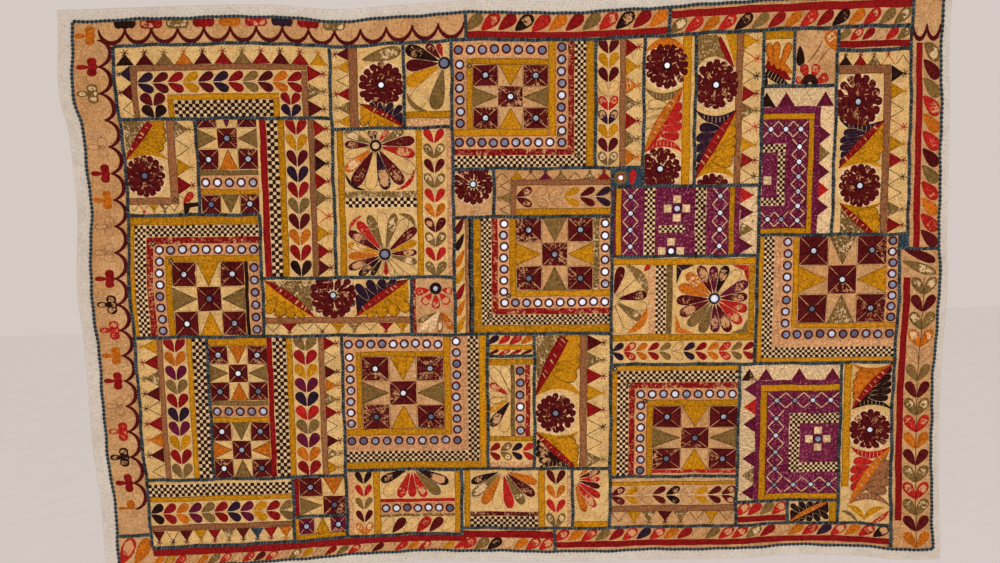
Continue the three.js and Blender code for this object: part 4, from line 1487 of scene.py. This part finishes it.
    def scallops(self, box, side, pitch, cusp, bud_out, bud_size, colours):
        """A scalloped line along the inner side, thick in each sag, with a bud at every cusp."""
        run, _, spot = strip_axes(box, side)
        count = max(1, round(run / pitch))
        pitch = run / count
        turn = np.linspace(0, math.pi, 15)
        inward = spot(0, 0) - spot(0, 1)
        for k in range(count):
            along = (k + 0.5) * pitch - np.cos(turn) * pitch / 2
            sag = np.sin(turn) ** 1.15
            self.line(spot(along, cusp - sag * (cusp - 3)), 1.3 + 2.6 * np.sin(turn), "m", 0.9)
        for k, code in enumerate(colours[:count]):
            if code != ".":
                self.bud(spot((k + 1) * pitch, bud_out + dice.normal(0, 1)), inward, bud_size, code)

    def sew(self, design, boxes):
        """Sews one patch's design, strip by strip from its edges inwards."""
        self.open(boxes[0])
        for row in design:
            if row[0] == "area":
                self.open(row[1])
            elif row[0] == "at":
                self.place(*row[1:])
            else:
                self.strips(*row)

    def open(self, box):
        """Starts on a box of the plan, all of it still bare."""
        left, top, right, bottom = box
        self.box = (left + SEAM_ROOM, top + SEAM_ROOM, right - SEAM_ROOM, bottom - SEAM_ROOM)
        self.rest = list(self.box)
        self.corner = np.array((left, top), float)

    def place(self, motif, where, *details):
        """Sews a motif at a distance from the patch's top left corner."""
        if motif in ("marigold", "disc", "cross"):
            details = (where[2], *details)
            where = where[:2]
        elif motif in ("petal", "crescent"):
            details = (self.corner + details[0], *details[1:])
        corner = np.tile(self.corner, 2) if motif == "wing" else self.corner
        getattr(self, motif)(corner + where, *details)

    def strips(self, sides, motif, width, *details):
        """Sews a strip along each side named, or with a star in front over all the cloth still bare."""
        whole = sides.startswith("*")
        for side in sides.lstrip("*"):
            box = list(self.rest)
            edge = "LTRB".index(side)
            if not whole:
                sign = 1 if side in "LT" else -1
                box[(edge + 2) % 4] = box[edge] + sign * width
                self.rest[edge] = box[edge] + sign * width
            if motif == "daisy":
                centre, radius, *others = details
                self.daisy(self.corner + centre, radius, *others, box=box)
            else:
                getattr(self, motif)(box, side, *details)


def edge_steps(ends, step):
    """Lines of a cloth's grid, close together near each seam."""
    lines = []
    for start, end in zip(ends[:-1], ends[1:]):
        span = end - start
        near = [share for share in SEAM_STEPS if share < span / 2]
        inner = np.linspace(start + near[-1], end - near[-1], max(2, int((span - 2 * near[-1]) / step) + 1))
        lines.extend(start + share for share in near[:-1])
        lines.extend(inner[:-1])
        lines.extend(end - share for share in near[:0:-1])
    return np.array(lines + [ends[-1]])


def inside_any(u, v, boxes):
    """Which points lie inside one of the boxes."""
    found = np.zeros(np.broadcast(u, v).shape, bool)
    for left, top, right, bottom in boxes:
        found |= (u > left) & (u < right) & (v > top) & (v < bottom)
    return found


def depth_inside(u, v, boxes):
    """How far points lie from the edge of the cloth."""
    depth = np.zeros(np.broadcast(u, v).shape)
    for left, top, right, bottom in boxes:
        depth = np.maximum(depth, np.min((u - left, right - u, v - top, bottom - v), axis=0))
    return depth


def shell_faces(cells):
    """Faces of a closed sheet over the filled cells of a grid, and the points of the grid that it uses."""
    rows, columns = np.nonzero(cells)
    number = np.arange((cells.shape[0] + 1) * (cells.shape[1] + 1)).reshape(cells.shape[0] + 1, -1)
    corners = ((0, 0), (1, 0), (1, 1), (0, 1))
    quads = np.stack([number[rows + down, columns + right] for down, right in corners], axis=-1)
    used, order = np.unique(quads, return_inverse=True)
    size = len(used)
    fronts = order.reshape(-1, 4).tolist()
    backs = [[corner + size for corner in quad[::-1]] for quad in fronts]
    edges = [pair for quad in fronts for pair in zip(quad, quad[1:] + quad[:1])]
    shared = {pair[::-1] for pair in edges}
    rim = [pair for pair in edges if pair not in shared]
    sides = [[after, here, here + size, after + size] for here, after in rim]
    return fronts + sides + backs, used


def cloth_shell(boxes, step, front, back, round_edge):
    """A thin closed sheet over boxes of the plan, its front rounded down at the edge."""
    us, vs = (edge_steps(sorted({end for box in boxes for end in box[axis::2]}), step) for axis in (0, 1))
    middle_u, middle_v = np.meshgrid((us[:-1] + us[1:]) / 2, (vs[:-1] + vs[1:]) / 2)
    faces, used = shell_faces(inside_any(middle_u, middle_v, boxes))
    flat = np.stack([grid.ravel()[used] for grid in np.meshgrid(us, vs)], axis=-1)
    depth = depth_inside(flat[:, 0], flat[:, 1], boxes)
    top = front - round_edge * np.exp(-depth / ROUND_REACH)
    plan = np.concatenate((flat, flat))
    height = np.concatenate((top, np.full(len(flat), back)))
    bake = (flat - flat.min(axis=0)) / np.ptp(flat, axis=0).max()
    bake[:, 1] = 1 - bake[:, 1]
    return plan, height, faces, np.concatenate((bake * FRONT_SHARE, bake * BACK_SHARE + BACK_CORNER))


def seam_runs():
    """Straight runs of seam between two patches, and of the edge: (start, end, whether it is the edge)."""
    owner = np.full((FACE_HEIGHT + 2, FACE_WIDTH + 2), -1)
    for number, boxes in enumerate(PATCHES.values()):
        for left, top, right, bottom in boxes:
            owner[top + 1:bottom + 1, left + 1:right + 1] = number
    runs = []
    for upright, grid in ((True, owner), (False, owner.T)):
        change = grid[1:-1, :-1] != grid[1:-1, 1:]
        for at in np.nonzero(change.any(axis=0))[0]:
            marks = np.diff(np.concatenate(([0], change[:, at].astype(int), [0])))
            limit = FACE_WIDTH if upright else FACE_HEIGHT
            for start, end in zip(np.nonzero(marks > 0)[0], np.nonzero(marks < 0)[0]):
                ends = ((at, start), (at, end)) if upright else ((start, at), (end, at))
                runs.append((np.array(ends[0], float), np.array(ends[1], float), at in (0, limit)))
    return runs


def couch(sewing, start, end, pitch, kind):
    """A couched cord along one seam and the stitches that hold it, or dark stitches over a pale edge."""
    length = math.dist(start, end)
    side = square_to((end - start) / length)
    phase = dice.uniform(0, 6)

    def at(share):
        sway = 0.8 * np.sin(share * length / 21 + phase) + 0.5 * np.sin(share * length / 8.7 + 2 * phase)
        return start + (end - start) * share[:, None] + side * sway[:, None]

    cord = at(np.linspace(0, 1, max(3, int(length / CORD_STEP))))
    sew_line(sewing, cord, kind.half, CORD_HEIGHT, 0, kind.tone, sink=kind.sink)
    count = max(2, int(length / (pitch * kind.spread)))
    ring = circle(8)
    for centre in at((np.arange(count) + 0.5) / count):
        turn = math.atan2(side[1], side[0]) + dice.normal(kind.lean, kind.scatter)
        way = heading(turn)
        outline = centre + kind.reach * ring[:, :1] * way + kind.breadth * ring[:, 1:] * square_to(way)
        sew_pad(sewing, outline, STITCH_HEIGHT, turn, 0, dice.uniform(0, kind.lightest), kind.sink)


def hem_stitches(sewing):
    """Running stitches along the plain margin."""
    left, right = -MARGIN["left"], FACE_WIDTH + MARGIN["right"]
    top, bottom = -MARGIN["top"], FACE_HEIGHT + MARGIN["bottom"]
    for inset in HEM_ROWS:
        corners = np.array(((left + inset, top + inset), (right - inset, top + inset),
                            (right - inset, bottom - inset), (left + inset, bottom - inset)), float)
        for start, end in zip(corners, np.roll(corners, -1, axis=0)):
            way = (end - start) / math.dist(start, end)
            for at in np.arange(HEM_STITCH, math.dist(start, end) - HEM_END, HEM_PITCH):
                here = start + way * at + dice.normal(0, 0.25, 2)
                stitch = [here, here + way * HEM_STITCH / 2, here + way * HEM_STITCH]
                sew_line(sewing, stitch, SAW_LINE, 0.35, 0, dice.uniform())


def cut_size(boxes):
    """Width, length and area of a patch as cut. A strip round a corner counts as a straight one."""
    left, top = np.min([box[:2] for box in boxes], axis=0)
    right, bottom = np.max([box[2:] for box in boxes], axis=0)
    u, v = np.meshgrid(np.arange(left, right) + 0.5, np.arange(top, bottom) + 0.5)
    area = int(inside_any(u, v, boxes).sum())
    width, length = int(right - left), int(bottom - top)
    if area < 0.3 * width * length:
        sides = [sorted((box[2] - box[0], box[3] - box[1])) for box in boxes]
        width = max(short for short, _ in sides)
        length = sum(long for _, long in sides) - width
    return width, length, area


def sheet_of(boxes):
    """Works out the width, length and area that a patch was cut to, in metres, and does nothing more with
    them.
    """
    width, length, area = cut_size(boxes)
    width * MM
    length * MM
    area * MM * MM


class HANGING_OT_backing(bpy.types.Operator):
    """Lays the plain backing with its sewn margin"""
    bl_idname = "hanging.backing"
    bl_label = "Backing"

    def execute(self, context):
        colours = context.scene.hanging_colours
        material = cotton_finish("white_cotton", colours, BACKING_MOTTLE)
        box = (-MARGIN["left"], -MARGIN["top"], FACE_WIDTH + MARGIN["right"], FACE_HEIGHT + MARGIN["bottom"])
        plan, height, faces, bake = cloth_shell((box,), BACKING_STEP, BACKING_FRONT, 0, HEM_ROUND)
        piece = make_piece("backing_cloth", hang(plan, height), faces, material, "white_cotton", bake)
        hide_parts("backing")
        sheet_of((box,))
        stitches = Sewing(BACKING_FRONT)
        hem_stitches(stitches)
        thread = thread_finish("hem_thread", HEM_THREAD, tuple(colours.white_cotton), EVEN_CONTRAST)
        stitches.build("hem_stitches", thread, "couching_thread")
        return {"FINISHED"}


class HANGING_OT_patches(bpy.types.Operator):
    """Lays every cut patch on the backing"""
    bl_idname = "hanging.patches"
    bl_label = "Patches"

    def execute(self, context):
        colours = context.scene.hanging_colours
        step = context.scene.hanging_sizes.cloth_step / MM
        rows = [row for row in frame["record"]["subparts"] if row["node"] in PATCHES]
        slots = {row["node"]: row["material_slot"] for row in rows}
        finishes = {slot: cotton_finish(slot, colours) for slot in WORN_SHADES if slot in slots.values()}
        for name, boxes in PATCHES.items():
            plan, height, faces, bake = cloth_shell(boxes, step, PATCH_FRONT, PATCH_BACK, PATCH_ROUND)
            slot = slots[name]
            piece = make_piece(f"cloth_{name}", hang(plan, height), faces, finishes[slot], slot, bake)
            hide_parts(name)
            sheet_of(boxes)
        return {"FINISHED"}


class HANGING_OT_embroidery(bpy.types.Operator):
    """Sews the satin-stitch motifs and sets the mirrors"""
    bl_idname = "hanging.embroidery"
    bl_label = "Embroidery and mirrors"

    def execute(self, context):
        colours = context.scene.hanging_colours
        work = Embroidery(context.scene.hanging_sizes)
        for name, design in DESIGNS.items():
            work.sew(design, PATCHES[name])
        for code, (name, _) in THREADS.items():
            ground = colours.peach if code in ON_PEACH else colours.cream
            contrast = EVEN_CONTRAST if code in EVEN_THREADS else 1.0
            material = thread_finish(f"{name}_thread", tuple(getattr(colours, name)), tuple(ground), contrast)
            work.threads[code].build(f"thread_{name}", material, "embroidery_thread")
        glass = mirror_finish("mirror_glass", tuple(colours.mirror_glass), tuple(colours.aged_glass))
        work.glass.build("mirrors", glass, "mirror_glass")
        return {"FINISHED"}


class HANGING_OT_couching(bpy.types.Operator):
    """Couches cord over every seam and round the edge"""
    bl_idname = "hanging.couching"
    bl_label = "Couched cord"

    def execute(self, context):
        pitch = context.scene.hanging_sizes.stitch_pitch / MM
        material = couching_finish("couching_thread", tuple(context.scene.hanging_colours.couching_thread))
        cords = {False: Sewing(), True: Sewing()}
        for start, end, edge in seam_runs():
            couch(cords[edge], start, end, pitch, EDGE_COUCHING if edge else SEAM_COUCHING)
        cords[False].build("seam_cord", material, "couching_thread")
        cords[True].build("edge_cord", material, "couching_thread")
        return {"FINISHED"}


def lay_floor(context):
    """A plain floor well below the hanging, which is no part of it."""
    mesh = bpy.data.meshes.new("floor")
    mesh.from_pydata([(u * FLOOR_HALF, v * FLOOR_HALF, FLOOR_LEVEL) for u, v in SQUARE], [], [(0, 1, 2, 3)])
    mesh.materials.append(floor_finish(tuple(context.scene.hanging_colours.floor)))
    floor = bpy.data.objects.new("floor", mesh)
    context.collection.objects.link(floor)


def soft_light(name, place, target, size, power):
    """A round lamp turned towards a point."""
    lamp = bpy.data.lights.new(name, "AREA")
    lamp.shape = "DISK"
    lamp.size = size
    lamp.energy = power
    made = bpy.data.objects.new(name, lamp)
    made.location = place
    made.rotation_euler = (Vector(target) - Vector(place)).to_track_quat("-Z", "Y").to_euler()
    bpy.context.collection.objects.link(made)


def light_studio(scene):
    """Light from all round and from the lamps."""
    scene.world = bpy.data.worlds.new("studio")
    scene.world.use_nodes = True
    back = scene.world.node_tree.nodes["Background"]
    back.inputs["Color"].default_value = STUDIO_LIGHT
    back.inputs["Strength"].default_value = STUDIO_STRENGTH
    for name, values in SOFT_LIGHTS.items():
        soft_light(name, *values)


def set_camera(context):
    """The camera where the picture was taken from."""
    camera = bpy.data.cameras.new("camera")
    camera.lens = CAMERA_LENS
    camera.sensor_width = CAMERA_SENSOR
    stand = bpy.data.objects.new("camera", camera)
    stand.location = CAMERA_PLACE
    stand.rotation_euler = Euler([math.radians(angle) for angle in CAMERA_TURN], "XYZ")
    context.collection.objects.link(stand)
    context.scene.camera = stand
    context.scene.view_settings.view_transform = "Standard"


class HANGING_OT_stage(bpy.types.Operator):
    """Sets the floor, the soft light and the camera"""
    bl_idname = "hanging.stage"
    bl_label = "Stage"

    def execute(self, context):
        lay_floor(context)
        light_studio(context.scene)
        set_camera(context)
        return {"FINISHED"}


class HANGING_PT_panel(bpy.types.Panel):
    """Lists the hanging's sizes, colours and steps"""
    bl_label = "Patchwork hanging"
    bl_idname = "HANGING_PT_panel"
    bl_space_type = "VIEW_3D"
    bl_region_type = "UI"
    bl_category = "Hanging"

    def draw(self, context):
        layout = self.layout
        for group in (context.scene.hanging_sizes, context.scene.hanging_colours):
            for name in group.__annotations__:
                layout.prop(group, name)
        for operator in OPERATORS:
            layout.operator(operator.bl_idname)


OPERATORS = (
    HANGING_OT_backing, HANGING_OT_patches, HANGING_OT_embroidery, HANGING_OT_couching, HANGING_OT_stage,
)
CLASSES = (HangingSizes, HangingColours, *OPERATORS, HANGING_PT_panel)


def register():
    for made in CLASSES:
        bpy.utils.register_class(made)
    bpy.types.Scene.hanging_sizes = PointerProperty(type=HangingSizes)
    bpy.types.Scene.hanging_colours = PointerProperty(type=HangingColours)


def unregister():
    del bpy.types.Scene.hanging_colours
    del bpy.types.Scene.hanging_sizes
    for made in reversed(CLASSES):
        bpy.utils.unregister_class(made)


def main():
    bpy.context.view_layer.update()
    register()
    bpy.ops.hanging.backing()
    bpy.ops.hanging.patches()
    bpy.ops.hanging.embroidery()
    bpy.ops.hanging.couching()
    bpy.ops.hanging.stage()


if __name__ == "__main__":
    main()
